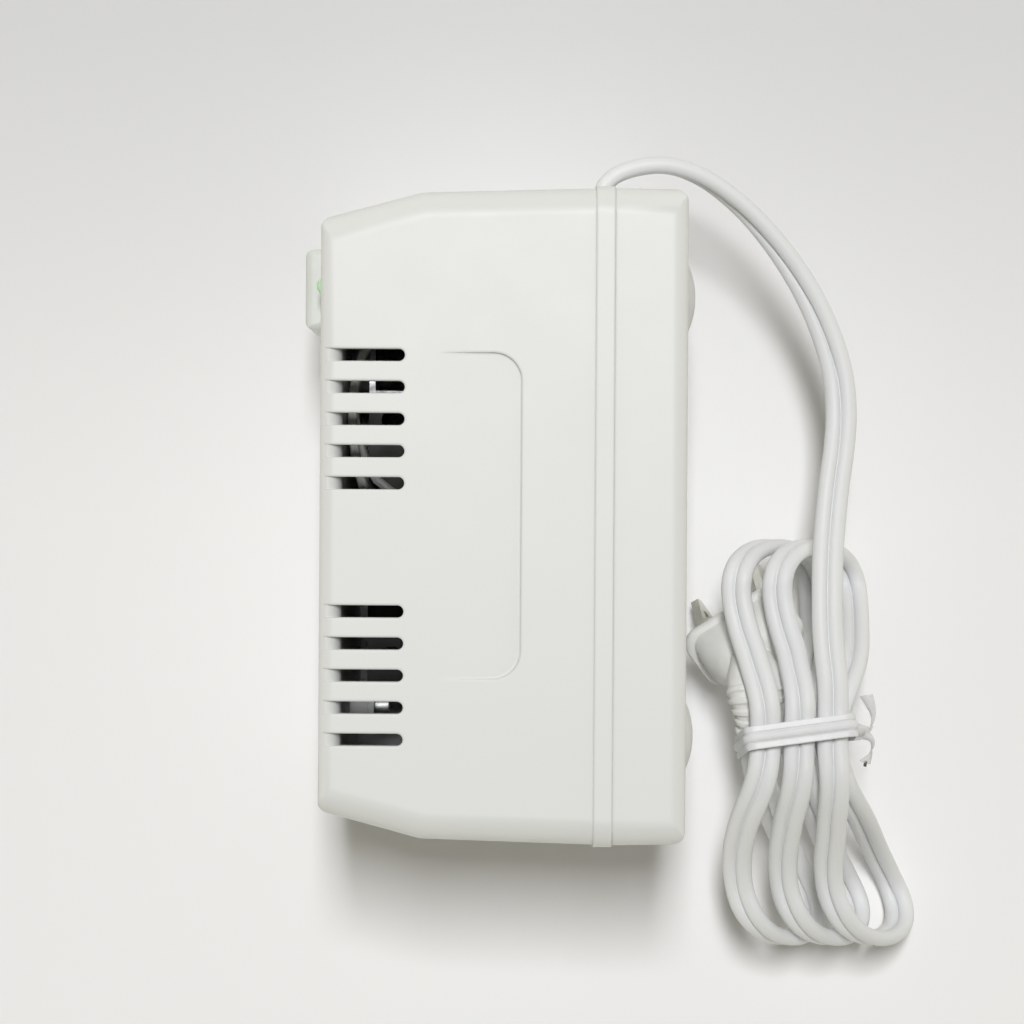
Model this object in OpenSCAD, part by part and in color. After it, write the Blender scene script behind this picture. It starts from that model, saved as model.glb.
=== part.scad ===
// Travel voltage converter: a two-part moulded case round a step-down transformer, with a two-slot
// outlet and a pilot lamp in its front, and a flat two-core mains cord with its plug, bundled in a hank.
// The case lies on one side face. Its front with the outlet points to -X, its four feet point to +X,
// and the cord leaves the end at +Y, through a notch in the seam.

/* [Case] */
// Length of the case at its seam
case_l = 107; // [96:0.5:125]
// Width of the case between its two side faces
case_w = 69.4; // [68:0.2:84]
// Depth of the front housing, from the seam to the front face
front_d = 47.7; // [47:0.1:60]
// Depth of the rear cover, from the seam to its outer face
rear_d = 11.9; // [11:0.1:18]
// Thickness of the side and end walls
wall = 2.4; // [1.8:0.1:3]
// Thickness of the front wall
front_wall = 3.6; // [3:0.1:5]
// Draft of the end walls of the housing, degrees
end_draft = 1.7; // [0.5:0.1:2.5]
// Draft of the end walls of the cover, degrees
cover_draft = 1; // [0.5:0.1:2]
// Depth of the slanted part at both ends of the front
slant_d = 16.5; // [12:0.5:18]
// Slant of that part, degrees
slant_deg = 15; // [8:0.5:17]
// Rounding where the slant meets the end wall
slant_r = 14; // [4:1:20]
// Rounding of the edges between end walls and side faces
edge_r = 4.6; // [3:0.1:5]
// Rounding of the edges round the front face
front_r = 2.4; // [1:0.1:3]
// Rounding of the edges round the rear face
rear_r = 2.6; // [1:0.1:3.5]
// Width of the raised band along the seam
band_w = 3.1; // [3:0.1:6]
// How far the band stands proud of the case
band_proud = 0.3; // [0.2:0.05:0.8]
// Length of the cover's tongue inside the housing
tongue_l = 1.6; // [1:0.1:2]
// Thickness of the tongue
tongue_t = 1; // [0.8:0.1:1.5]
// Clearance of the tongue in the housing
tongue_fit = 0.2; // [0.1:0.05:0.3]

/* [Vents] */
// Width of one vent slot
vent_w = 2; // [1.4:0.1:2.6]
// Spacing of the vent slots
vent_pitch = 5.18; // [4:0.02:6]
// Distance from the front face to the far end of a slot
vent_reach = 13.77; // [10:0.01:16]
// Length of a slot along the front face
vent_depth = 9; // [6:0.5:12]
// First and last slot of the upper group, counted from the middle
vent_upper = [1, 5];
// First and last slot of the lower group, counted from the middle
vent_lower = [-7, -3];

/* [Grip] */
// Length of the grip recess in each side face
grip_l = 52.7; // [40:0.1:60]
// Distance from the front face to the shallow edge of the recess
grip_from = 19.1; // [17:0.1:24]
// Run of the recess, from its shallow edge to its step
grip_run = 13.55; // [10:0.05:18]
// Height of the step
grip_depth = 0.43; // [0.2:0.01:1]
// Corner radius of the recess
grip_r = 4.5; // [2:0.1:6]

/* [Case fasteners and feet] */
// Diameter of the cover screws' shanks
screw_d = 3; // [2.5:0.1:3.4]
// Diameter of the cover screws' heads
screw_head_d = 5.6; // [5:0.1:6]
// Height of the cover screws' heads
screw_head_h = 2.2; // [1.6:0.1:3]
// Length of the cover screws under the head
screw_l = 13.5; // [9:0.5:20]
// Clearance round screws, on the diameter
screw_fit = 0.2; // [0.1:0.05:0.4]
// Diameter of the screw posts in the housing
post_d = 7.5; // [6.5:0.1:9]
// Thickness of plastic under a screw head
seat_t = 2.4; // [1.6:0.1:4]
// Distance of the cover screws from the middle, across the width
post_z = 26; // [22:0.5:28]
// Diameter of the rubber feet
foot_d = 12.7; // [9:0.1:14]
// How far a foot stands out
foot_proud = 1.5; // [1:0.1:3]
// Depth of a foot's recess
foot_sunk = 0.6; // [0.4:0.1:1]
// Dome radius of a foot
foot_r = 13.5; // [8:0.5:20]
// Clearance of a foot in its recess, on the diameter
foot_fit = 0.3; // [0.1:0.05:0.6]
// Depth of dome that the flat on top of a foot takes off
foot_flat = 0.1; // [0.05:0.05:0.3]
// Distance of the feet from the middle, along the length
foot_y = 36; // [28:0.5:38]
// Distance of the feet from the middle, across the width
foot_z = 24; // [18:0.5:26]

/* [Outlet and pilot lamp] */
// Gap between the outlet's flange and the end wall
outlet_gap = 0.1175; // [0.1:0.0025:1]
// Length of the raised outlet face along the case
outlet_l = 14.4; // [12:0.1:15]
// Height of the raised outlet face across the case
outlet_h = 25; // [22:0.1:26]
// How far the outlet face stands out of the front
outlet_proud = 3.9; // [2:0.1:6]
// Corner radius of the outlet face
outlet_r = 2.4; // [1:0.1:4]
// Draft of the outlet face, degrees
outlet_draft = 7; // [4:0.5:9]
// Rounding of the edges of the outlet face
face_r = 1.4; // [0.6:0.1:1.8]
// Spacing of the blade slots and of the plug's blades
blade_pitch = 12.7; // [12.5:0.1:13]
// Thickness of a blade slot
slot_w = 2.2; // [1.8:0.1:2.6]
// Length of a blade slot
slot_l = 7.5; // [6.8:0.1:8]
// Clearance of the outlet in the front wall
outlet_fit = 0.15; // [0.1:0.05:0.3]
// Lip of the outlet's flange beyond its block, along the case
flange_lip = 1.4; // [0.8:0.1:1.6]
// Lip of the outlet's flange beyond its block, across the case
flange_ear = 4.5; // [4.4:0.1:5]
// Thickness of the flange
flange_t = 2; // [1.5:0.1:2.4]
// Depth of the outlet's block behind the flange
block_d = 13; // [11:0.5:15]
// Thickness of the outlet's face over the contact chambers
face_t = 3.4; // [2:0.1:4]
// Thickness of the contact strip
strip_t = 0.5; // [0.3:0.05:0.6]
// Thickness of the outlet's back plate
back_t = 1.6; // [1:0.1:2]
// Diameter of the outlet screws' shanks
small_screw_d = 2.2; // [1.8:0.1:2.4]
// Diameter of the pilot lamp
lamp_d = 3; // [2.6:0.1:3.2]
// Distance of the pilot lamp from the middle, across the width
lamp_z = 20; // [19.5:0.1:22]
// Clearance of the lamp in its hole, on the diameter
lamp_fit = 0.1; // [0.05:0.05:0.2]
// Height of the lamp's board above the inner face of the front wall
board_up = 7.4; // [6:0.1:9]
// Thickness of the lamp's board
board_t = 1.6; // [1:0.1:2]

/* [Transformer] */
// Depth of the core
core_x = 40; // [38:0.5:40]
// Length of the core
core_y = 48; // [45:0.5:48]
// Stack height of the core
core_z = 25; // [20:0.5:28]
// Width of the core's centre leg
leg_w = 16; // [15:0.5:16]
// Width of a winding window
window_w = 8; // [7:0.1:8]
// Length of a winding window
window_l = 24; // [22:0.5:25]
// Gap between the outlet's block and the foot of the bracket
core_clear = 1.95; // [1:0.05:2.5]
// Thickness of the bobbin
bobbin_t = 1; // [0.8:0.1:1.2]
// Clearance of the bobbin round the centre leg and in the windows
bobbin_fit = 0.2; // [0.1:0.05:0.3]
// Thickness of the primary winding
primary_t = 3.2; // [2.5:0.1:3.4]
// Thickness of the tape between and over the windings
tape_t = 0.3; // [0.2:0.05:0.4]
// Thickness of the secondary winding
secondary_t = 2; // [1.5:0.1:2.4]
// Thickness of the bracket's steel
strap_t = 1; // [0.8:0.1:1.4]
// Width of the bracket
strap_w = 22; // [16:0.5:24]
// Length of the bracket's feet
strap_foot = 8; // [7:0.1:8]
// Height of the bosses under the bracket's feet
boss_h = 3.4; // [2.6:0.1:4]

/* [Cord and plug] */
// Width of the flat cord
cord_w = 5.4; // [5:0.1:6]
// Thickness of the flat cord
cord_t = 2.7; // [2.4:0.1:3]
// Clearance of the cord in its notch and clamp
cord_fit = 0.05; // [0.05:0.05:0.2]
// Thickness of the cord clamp's bar
clamp_t = 2; // [1.5:0.1:3]
// Width of the cord clamp's bar
clamp_w = 7; // [6:0.5:8]
// Spacing of the clamp's screws
clamp_pitch = 16; // [14:0.5:20]
// Length of the plug's blades
blade_l = 16.5; // [15.9:0.1:18]
// Width of a blade
blade_w = 6.3; // [6.2:0.05:6.4]
// Thickness of a blade
blade_t = 1.5; // [1.4:0.05:1.6]
// Width of the plug's rim
rim_w = 20; // [18:0.1:21]
// Thickness of the plug's rim across its width
rim_t = 12.8; // [11:0.1:13]
// Length of the plug's body behind its face
plug_l = 10.5; // [10:0.1:12]
// Length of the rim along the plug
rim_l = 2; // [1.5:0.1:3]
// Count of ribs on the plug's bent neck
rib_count = 5; // [3:1:6]

/* [Hidden] */
$fn = 48;
// Reach of a cut past the surface that it opens
over = 1;
// Length of solids that are only cut down to size
big = 200;

// Planes and middle of the case
z_low = band_proud;
z_high = z_low + case_w;
z_mid = z_low + case_w / 2;
half_l = case_l / 2;
x_seam = (outlet_proud + front_d - rear_d - foot_proud) / 2;
x_front = x_seam - front_d;
x_inner = x_front + front_wall;
x_rear = x_seam + rear_d;
x_floor = x_rear - wall;
x_slant = x_front + slant_d;
half_slant = half_l - (x_seam - x_slant) * tan(end_draft);
half_front = half_slant - slant_d * tan(slant_deg);
half_inner = half_front + front_wall * tan(slant_deg) - wall;
half_rear = half_l - rear_d * tan(cover_draft);

// Screw posts, which grow out of the end walls
post_grow = 0.3;
post_y = half_l - wall - post_d / 2 + post_grow;
x_seat = x_seam + seat_t;
standoff_wall = 1;
counter_d = screw_head_d + 4 * screw_fit;
standoff_d = counter_d + 2 * standoff_wall;

// Outlet, from its face to its back
x_face = x_front - outlet_proud;
x_flange = x_inner + flange_t;
x_back = x_flange + block_d;
outlet_y = half_inner - outlet_gap - flange_lip - outlet_l / 2;
block_l = outlet_l - 2 * outlet_fit;
block_h = outlet_h - 2 * outlet_fit;
ear_z = outlet_h / 2 + flange_ear / 2;
chamber_room = 1.4;
chamber_past = 0.75;
chamber_w = slot_w + 2 * chamber_room;
chamber_l = slot_l + 2 * chamber_past;
grip_gap = 1.2;
leaf_short = 1;
leaf_spread = 1.6;
tail_w = 3;
tail_l = 3;
small_head_d = 4;
small_head_h = 1.6;
screw_short = 1.2;
outlet_screw_l = flange_t + front_wall - screw_short;

// Lamp, its board and the board's boss
lamp_lip = 0.4;
lamp_rim_d = lamp_d + 2 * lamp_lip;
lamp_rim_h = 1;
lamp_pin_d = 0.5;
lamp_pin_gap = 2.54;
x_board = x_inner + board_up;
board_l = 14;
board_w = 10;
board_r = 1;
board_back = 3;
board_out = 2.5;
board_y = outlet_y - board_back;
board_z = z_mid + lamp_z + board_out;
boss_along = 4.5;
boss_out = 2.5;
boss_y = board_y + boss_along;
boss_z = board_z + boss_out;
board_boss_d = 5;
board_pin_d = 2;
resistor_d = 2.2;
resistor_l = 6;
resistor_in = 2;
pad_edge = 2;
pad_half = 2;

// Transformer, from the bosses on the front wall backwards
x_boss = x_inner + boss_h;
x_core = x_boss;
x_yoke = x_core + core_x;
core_at = outlet_y - block_l / 2 - core_clear - strap_foot - strap_t - core_y / 2;
core_low = core_at - core_y / 2;
core_high = core_at + core_y / 2;
yoke_w = (core_x - window_l) / 2;
x_window = x_core + yoke_w;
tube_w = leg_w + 2 * bobbin_fit + 2 * bobbin_t;
tube_h = core_z + 2 * bobbin_fit + 2 * bobbin_t;
coil_t = primary_t + secondary_t + 2 * tape_t;
coil_h = tube_h + 2 * coil_t;
coil_l = window_l - 2 * bobbin_fit - 2 * bobbin_t;
x_coil = x_window + bobbin_fit + bobbin_t;
flange_w = leg_w + 2 * window_w - 2 * bobbin_fit;
flange_h = core_z + 2 * window_w - 2 * bobbin_fit;
wind_r = 1.5;
lamination_hole = 3.8;
bracket_boss_d = 7.5;
foot_high = core_high + strap_t + strap_foot / 2;
foot_low = core_low - strap_t - strap_foot / 2;
bracket_screw_l = boss_h + strap_t + front_wall - screw_short;

// Fuse, splices and leads
fuse_d = 3.6;
fuse_l = 9;
cap_d = 5;
cap_l = 14;
cap_z = 5;
lead_d = 1.6;
x_cap = x_yoke + strap_t + cap_d / 2;
cap_inset = 2;
cap_mouth = core_high - cap_inset;
x_coil_end = x_coil + coil_l + bobbin_t;
lead_inset = 1;
lead_up = flange_h / 2 - lead_inset;
lamp_lead_at = 4;
lamp_lead_gap = 3;
wall_pull = 1.3;
primary_at = 2;
primary_out = 2;
secondary_at = 10;
splice_step = 1.3;
splice_bow = 12;
lead_bow = 8;
outlet_bow = 19;

// Cord entry and clamp
x_cord = x_seam - cord_t / 2 - cord_fit;
y_end = half_l + band_proud;
clamp_from = 9.5;
clamp_y = half_l - clamp_from;
clamp_boss_d = 6;
clamp_l = clamp_pitch + clamp_boss_d;
x_clamp = x_cord - cord_t / 2 - cord_fit;
clamp_bite = 6;
clamp_screw_l = clamp_t + clamp_bite;
rib_w = 3;
core_gap = cord_w / 4;
inlet_past = 6;
inlet_end = clamp_y - inlet_past;

// Route of the free stretch of cord: place, and turn of its wide side from upright
route = [
    [17.7, 53.8, 35, 0],
    [17.7, 55.4, 35, 0],
    [18.2, 57, 35, 0],
    [19.8, 58.6, 35, 0],
    [22.4, 59.8, 34.9, 0],
    [26.2, 60.6, 34.7, 0],
    [30, 60.5, 34.4, 0],
    [34.1, 59.2, 34, 5],
    [38.1, 56.9, 33.5, 10],
    [42.8, 53.1, 32.8, 18],
    [47.3, 48.3, 32.1, 28],
    [51.4, 42.8, 31.5, 40],
    [54.9, 36.8, 31.1, 52],
    [57.6, 30.3, 30.9, 64],
    [59.2, 24.3, 31, 74],
    [59.7, 18.2, 31.3, 82],
    [59.3, 12.1, 31.9, 88],
    [58.4, 6, 32.8, 90],
    [57.7, 0, 33.9, 90],
    [57.2, -6, 35, 90],
    [57, -12, 36, 90],
    [57, -18, 36.8, 90],
    [57.3, -23, 37.3, 90],
    [57.8, -27.6, 37.7, 90],
    [57.9, -30.4, 37.75, 90],
    [57.9, -32.8, 37.75, 90]];

// Hank: place of its waist, and the counts, steps and sizes of its loops below and above it
waist = [57.9, -38.2, 36];
waist_step = 5.75;
waist_half = 1.75;
low_step = 8;
low_run = 37;
low_open = 29;
low_z = 13.8;
low_tilt = 32;
low_lean = 9.5;
low_sway = 2.3;
top_step = 7.1;
top_run = 33;
top_open = 34;
top_z = 19;
top_tilt = 24;
top_lean = -1.6;
top_sway = 3.2;
hank_turn = 360 * 2.36;
hank_rings = 116;
tail_rings = 13;
tail_reach = [12, 7];
lead_in = 5.4;

// Plug: middle of its face, its turn about each axis, and the bend of its neck
plug_at = [44, -20.7, 17.8];
plug_heading = 9.2;
plug_tilt = 64;
plug_roll = 25.7;
neck_turn = 34;
neck_r = 8.5;
neck_deg = 95;
neck_lap = 3;
neck_core = [6.2, 3.8];
rib_first = [8.6, 6.4];
rib_last = [6.8, 4.8];
shoulder = [11.4, 8.4];
body_rear = [17.2, 11.2];
plug_corner = 3.4;
slice = 0.5;

// Tie round the hank's waist: middle and slant of its loop, its corners, and the ends of its tails
tie_w = 4;
tie_t = 0.8;
tie_mid = [51.8, -38, 32.6];
tie_tilt = -10;
tie_turn = 8;
tie_loop = [[-9.8, -8.3], [0.6, -8.3], [10.1, 0.4], [10.1, 7.8], [-9.8, 7.8]];
tie_corners = [2.4, 3, 1.6, 1.6, 2.4];
tie_knot = [65, -38, 32];
tie_knot_d = 2;
tie_knot_l = 3;
tie_tail_d = 1.3;
tie_tails = [[64, -30.8, 34.6], [64.4, -42.4, 30.6]];

// Plane geometry
function unit(v) = v / norm(v);
function left_of(v) = [-v[1], v[0]];
function inward(p, q) = left_of(unit(q - p));
function fillet_centre(p, n1, n2, r) = p + r * (n1 + n2) / (1 + n1 * n2);

// Convex outline, anticlockwise, with its own radius at each corner
module rounded(points, radii) {
    count = len(points);
    before = [for (i = [0:count - 1]) inward(points[(i + count - 1) % count], points[i])];
    after = [for (i = [0:count - 1]) inward(points[i], points[(i + 1) % count])];
    centres = [for (i = [0:count - 1]) fillet_centre(points[i], before[i], after[i], radii[i])];
    polygon([for (i = [0:count - 1]) each radii[i] > 0
        ? [centres[i] - radii[i] * before[i], centres[i] - radii[i] * after[i]]
        : [points[i]]]);
    for (i = [0:count - 1])
        if (radii[i] > 0)
            translate(centres[i]) circle(radii[i]);
}

// Rounded rectangle about the origin
module plate2d(l, h, r) {
    rounded([[-l / 2, -h / 2], [l / 2, -h / 2], [l / 2, h / 2], [-l / 2, h / 2]], [r, r, r, r]);
}

// Flat bar with round ends about the origin
module stadium(l, h) {
    square([l - h, h], center = true);
    for (s = [-1, 1])
        translate([s * (l - h) / 2, 0]) circle(h / 2);
}

// Turns a plane figure in Y and Z into a solid along X
module along_x(x0, x1) {
    translate([x0, 0, 0]) rotate([90, 0, 90]) linear_extrude(x1 - x0) children();
}

// Copies to both sides of the middle plane across the width
module both_sides() {
    children();
    translate([0, 0, 2 * z_mid]) mirror([0, 0, 1]) children();
}

// Copies to both ends of the length
module both_ends() {
    children();
    mirror([0, 1, 0]) children();
}

// Round bar along X
module rod(x0, x1, d) {
    translate([x0, 0, 0]) rotate([0, 90, 0]) cylinder(h = x1 - x0, d = d);
}

// Half space behind a wall that faces the given way, with its edges to the side faces rounded
module wall_prism(facing, at, r) {
    reach = facing[0] * at[0] + facing[1] * at[1];
    rotate([0, 0, atan2(facing[1], facing[0])]) rotate([90, 0, 0])
        linear_extrude(2 * big, center = true)
            rounded([[-big, z_low], [reach, z_low], [reach, z_high], [-big, z_high]], [0, r, r, 0]);
}

// Outside of the front housing
module housing_block() {
    intersection() {
        translate([0, 0, z_low])
            linear_extrude(case_w)
                rounded([[x_seam, -half_l], [x_seam, half_l], [x_slant, half_slant],
                    [x_front, half_front], [x_front, -half_front], [x_slant, -half_slant]],
                    [0, 0, slant_r, front_r, front_r, slant_r]);
        wall_prism([-1, 0], [x_front, 0], front_r);
        wall_prism([-sin(end_draft), cos(end_draft)], [x_seam, half_l], edge_r);
        wall_prism([-sin(end_draft), -cos(end_draft)], [x_seam, -half_l], edge_r);
        wall_prism([-sin(slant_deg), cos(slant_deg)], [x_slant, half_slant], edge_r);
        wall_prism([-sin(slant_deg), -cos(slant_deg)], [x_slant, -half_slant], edge_r);
    }
}

// Raised band on the housing's rim
module seam_band() {
    translate([0, 0, z_mid])
        along_x(x_seam - band_w, x_seam)
            plate2d(case_l + 2 * band_proud, case_w + 2 * band_proud, edge_r + band_proud);
}

// Space inside the housing
module housing_cavity() {
    translate([0, 0, z_low + wall])
        linear_extrude(case_w - 2 * wall)
            polygon([[x_seam + over, -half_l + wall], [x_seam + over, half_l - wall],
                [x_slant, half_slant - wall], [x_inner, half_inner],
                [x_inner, -half_inner], [x_slant, -half_slant + wall]]);
}

// One vent slot, from the front face round the edge into a side face
module vent(y) {
    end = x_front + vent_reach - vent_w / 2;
    translate([0, y, z_high - vent_depth])
        linear_extrude(vent_depth + over) {
            translate([x_front - over, -vent_w / 2]) square([end - x_front + over, vent_w]);
            translate([end, 0]) circle(vent_w / 2);
        }
}

// Grip recess in a side face: shallow towards the front, with a step at the rear
module grip() {
    x0 = x_front + grip_from;
    x1 = x0 + grip_run;
    intersection() {
        translate([0, 0, z_high - over])
            linear_extrude(2 * over)
                rounded([[x0 - grip_r, -grip_l / 2], [x1, -grip_l / 2], [x1, grip_l / 2],
                    [x0 - grip_r, grip_l / 2]], [0, grip_r, grip_r, 0]);
        rotate([90, 0, 0])
            linear_extrude(grip_l + over, center = true)
                polygon([[x0, z_high], [x1 + over, z_high - grip_depth * (grip_run + over) / grip_run],
                    [x1 + over, z_high + over], [x0, z_high + over]]);
    }
}

// Places of the four cover screws
module at_posts() {
    both_sides() both_ends() translate([0, post_y, z_mid + post_z]) children();
}

// Places of the two bracket screws
module at_bracket_feet() {
    for (y = [foot_low, foot_high])
        translate([0, y, z_mid]) children();
}

// Places of the two outlet screws
module at_outlet_ears() {
    for (s = [-1, 1])
        translate([0, outlet_y, z_mid + s * ear_z]) children();
}

// Places of the two clamp screws
module at_clamp_ends() {
    for (s = [-1, 1])
        translate([0, clamp_y, z_mid + s * clamp_pitch / 2]) children();
}

// Moulded front housing: open shell with vents, grips, posts and bosses
module front_housing() {
    color("#e9e9e4")
    difference() {
        union() {
            difference() {
                union() {
                    housing_block();
                    seam_band();
                }
                housing_cavity();
            }
            at_posts() rod(x_slant, x_seam, post_d);
            at_bracket_feet() rod(x_inner - over, x_boss, bracket_boss_d);
            translate([0, boss_y, boss_z]) {
                rod(x_inner - over, x_board, board_boss_d);
                rod(x_board - over, x_board + board_t, board_pin_d);
            }
        }
        both_sides() {
            for (k = [vent_upper[0]:vent_upper[1]])
                vent(k * vent_pitch);
            for (k = [vent_lower[0]:vent_lower[1]])
                vent(k * vent_pitch);
            grip();
        }
        at_posts() rod(x_seat - screw_l - over, x_seam + over, screw_d + screw_fit);
        at_bracket_feet()
            rod(x_boss + strap_t - bracket_screw_l - screw_fit, x_boss + over, screw_d + screw_fit);
        at_outlet_ears()
            rod(x_flange - outlet_screw_l - screw_fit, x_inner + over, small_screw_d + screw_fit);
        translate([0, outlet_y, z_mid])
            along_x(x_front - over, x_inner + over) plate2d(outlet_l, outlet_h, outlet_r);
        translate([0, outlet_y, z_mid + lamp_z])
            rod(x_front - over, x_inner + over, lamp_d + lamp_fit);
        translate([x_seam - cord_t - 2 * cord_fit, half_l - wall - over, z_mid - cord_w / 2 - cord_fit])
            cube([cord_t + 2 * cord_fit + over, wall + band_proud + 2 * over, cord_w + 2 * cord_fit]);
    }
}

// Outside of the rear cover
module cover_block() {
    intersection() {
        translate([0, 0, z_low])
            linear_extrude(case_w)
                rounded([[x_seam, -half_l], [x_rear, -half_rear], [x_rear, half_rear], [x_seam, half_l]],
                    [0, rear_r, rear_r, 0]);
        wall_prism([1, 0], [x_rear, 0], rear_r);
        wall_prism([sin(cover_draft), cos(cover_draft)], [x_seam, half_l], edge_r);
        wall_prism([sin(cover_draft), -cos(cover_draft)], [x_seam, -half_l], edge_r);
    }
}

// Space inside the rear cover
module cover_cavity() {
    lowered = rear_d - wall;
    half_floor = half_l - lowered * tan(cover_draft) - wall;
    translate([0, 0, z_low + wall])
        linear_extrude(case_w - 2 * wall)
            polygon([[x_seam - over, -half_l + wall], [x_floor, -half_floor],
                [x_floor, half_floor], [x_seam - over, half_l - wall]]);
}

// Tongue of the cover, clear of the posts and the cord
module tongue() {
    inner_l = case_l - 2 * wall - 2 * tongue_fit - 2 * tongue_l * tan(end_draft);
    inner_w = case_w - 2 * wall - 2 * tongue_fit;
    difference() {
        translate([0, 0, z_mid])
            along_x(x_seam - tongue_l, x_seam + over)
                difference() {
                    square([inner_l, inner_w], center = true);
                    square([inner_l - 2 * tongue_t, inner_w - 2 * tongue_t], center = true);
                }
        at_posts() rod(x_seam - tongue_l - over, x_seam, post_d + 2 * tongue_fit);
        translate([x_seam - tongue_l - over, half_l - 2 * wall - over, z_mid - cord_w])
            cube([tongue_l + 2 * over, 2 * wall + over, 2 * cord_w]);
    }
}

// Moulded rear cover with standoffs, clamp bosses and foot recesses
module rear_cover() {
    color("#e6e6e1")
    difference() {
        union() {
            difference() {
                cover_block();
                cover_cavity();
            }
            tongue();
            intersection() {
                at_posts() rod(x_seam, x_rear, standoff_d);
                cover_block();
            }
            at_clamp_ends() rod(x_clamp, x_floor + over, clamp_boss_d);
            translate([x_seam, clamp_y - rib_w / 2, z_mid - clamp_pitch / 4])
                cube([x_floor + over - x_seam, rib_w, clamp_pitch / 2]);
        }
        at_posts() {
            rod(x_seam - over, x_rear, screw_d + 2 * screw_fit);
            rod(x_seat, x_rear + over, counter_d);
        }
        at_clamp_ends()
            rod(x_clamp - over, x_clamp - clamp_t + clamp_screw_l + screw_fit, small_screw_d + screw_fit);
        both_sides() both_ends()
            translate([0, foot_y, z_mid + foot_z]) rod(x_rear - foot_sunk, x_rear + over, foot_d + foot_fit);
    }
}

// Pan-head screw along X, with its head towards +X and its seat at x
module screw(x, d, l, head_d, head_h) {
    rod(x - l, x, d);
    difference() {
        rod(x, x + head_h, head_d);
        for (turn = [0, 90])
            rotate([turn, 0, 0])
                translate([x + head_h / 2, -head_d / 3, -head_h / 8])
                    cube([head_h, 2 * head_d / 3, head_h / 4]);
    }
}

// Four screws that hold the cover
module cover_screws() {
    color("#9a9c9e") at_posts() screw(x_seat, screw_d, screw_l, screw_head_d, screw_head_h);
}

// Four domed feet on the rear
module rubber_feet() {
    foot_h = foot_sunk + foot_proud;
    color("#d4d5d0")
    both_sides() both_ends()
        translate([x_rear - foot_sunk, foot_y, z_mid + foot_z]) rotate([0, 90, 0])
            rotate_extrude($fn = 96)
                intersection() {
                    square([foot_d / 2, foot_h]);
                    translate([0, foot_h + foot_flat - foot_r]) circle(foot_r, $fn = 360);
                }
}

// Outlet moulding: raised face with two blade slots, flange and contact chambers
module outlet_face() {
    drop = tan(outlet_draft) * outlet_proud;
    color("#dededa")
    difference() {
        union() {
            intersection() {
                translate([0, outlet_y, z_mid])
                    along_x(x_face, x_inner + over) plate2d(block_l, block_h, outlet_r - outlet_fit);
                translate([0, outlet_y, 0])
                    linear_extrude(big)
                        rounded([[x_flange, -block_l / 2], [x_flange, block_l / 2], [x_front, block_l / 2],
                            [x_face, block_l / 2 - drop], [x_face, drop - block_l / 2],
                            [x_front, -block_l / 2]], [0, 0, 0, face_r, face_r, 0]);
                translate([0, outlet_y, z_mid]) rotate([90, 0, 0])
                    linear_extrude(outlet_l, center = true)
                        rounded([[x_flange, -block_h / 2], [x_flange, block_h / 2], [x_front, block_h / 2],
                            [x_face, block_h / 2 - drop], [x_face, drop - block_h / 2],
                            [x_front, -block_h / 2]], [0, 0, 0, face_r, face_r, 0]);
            }
            translate([0, outlet_y, z_mid])
                along_x(x_inner, x_flange)
                    plate2d(outlet_l + 2 * flange_lip, outlet_h + 2 * flange_ear, outlet_r);
            translate([0, outlet_y, z_mid])
                along_x(x_flange - over, x_back) plate2d(block_l, block_h - flange_ear / 4, outlet_r / 2);
        }
        for (s = [-1, 1])
            translate([0, outlet_y, z_mid + s * blade_pitch / 2]) {
                along_x(x_face - over, x_back + over) square([slot_l, slot_w], center = true);
                along_x(x_face + face_t, x_back + over) square([chamber_l, chamber_w], center = true);
            }
        at_outlet_ears() rod(x_inner - over, x_flange + over, small_screw_d + screw_fit);
    }
}

// Two folded contact strips, each a base, two sprung leaves and a solder tail
module outlet_contacts() {
    leaf_l = block_d - leaf_short;
    leaf_w = slot_l - 2 * chamber_past;
    base_w = grip_gap + 2 * strip_t + leaf_spread;
    color("#c9a44c")
    for (s = [-1, 1])
        translate([0, outlet_y, z_mid + s * blade_pitch / 2]) {
            along_x(x_back - strip_t, x_back) square([leaf_w, base_w], center = true);
            for (t = [-1, 1])
                rotate([90, 0, 0])
                    linear_extrude(leaf_w, center = true)
                        polygon([[x_back, t * base_w / 2], [x_back, t * (base_w / 2 - strip_t)],
                            [x_back - leaf_l, t * grip_gap / 2],
                            [x_back - leaf_l, t * (grip_gap / 2 + strip_t)]]);
            along_x(x_back - strip_t, x_back + back_t + tail_l) square([tail_w, strip_t], center = true);
        }
}

// Back plate that closes the contact chambers
module outlet_back() {
    color("#7a4a2c")
    difference() {
        translate([0, outlet_y, z_mid])
            along_x(x_back, x_back + back_t) plate2d(block_l, block_h - flange_ear / 4, outlet_r / 2);
        for (s = [-1, 1])
            translate([0, outlet_y, z_mid + s * blade_pitch / 2])
                along_x(x_back - over, x_back + back_t + over)
                    square([tail_w + screw_fit, strip_t + screw_fit], center = true);
    }
}

// Two screws that hold the outlet to the front wall
module outlet_screws() {
    color("#9a9c9e")
    at_outlet_ears() screw(x_flange, small_screw_d, outlet_screw_l, small_head_d, small_head_h);
}

// Pilot lamp: domed body, rim and two pins down to its board
module pilot_lamp() {
    color("#4fc45f")
    translate([0, outlet_y, z_mid + lamp_z]) {
        rod(x_front, x_inner, lamp_d);
        translate([x_front, 0, 0]) sphere(d = lamp_d);
        rod(x_inner, x_inner + lamp_rim_h, lamp_rim_d);
        for (s = [-1, 1])
            translate([0, s * lamp_pin_gap / 2, 0]) rod(x_inner, x_board, lamp_pin_d);
    }
}

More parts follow.
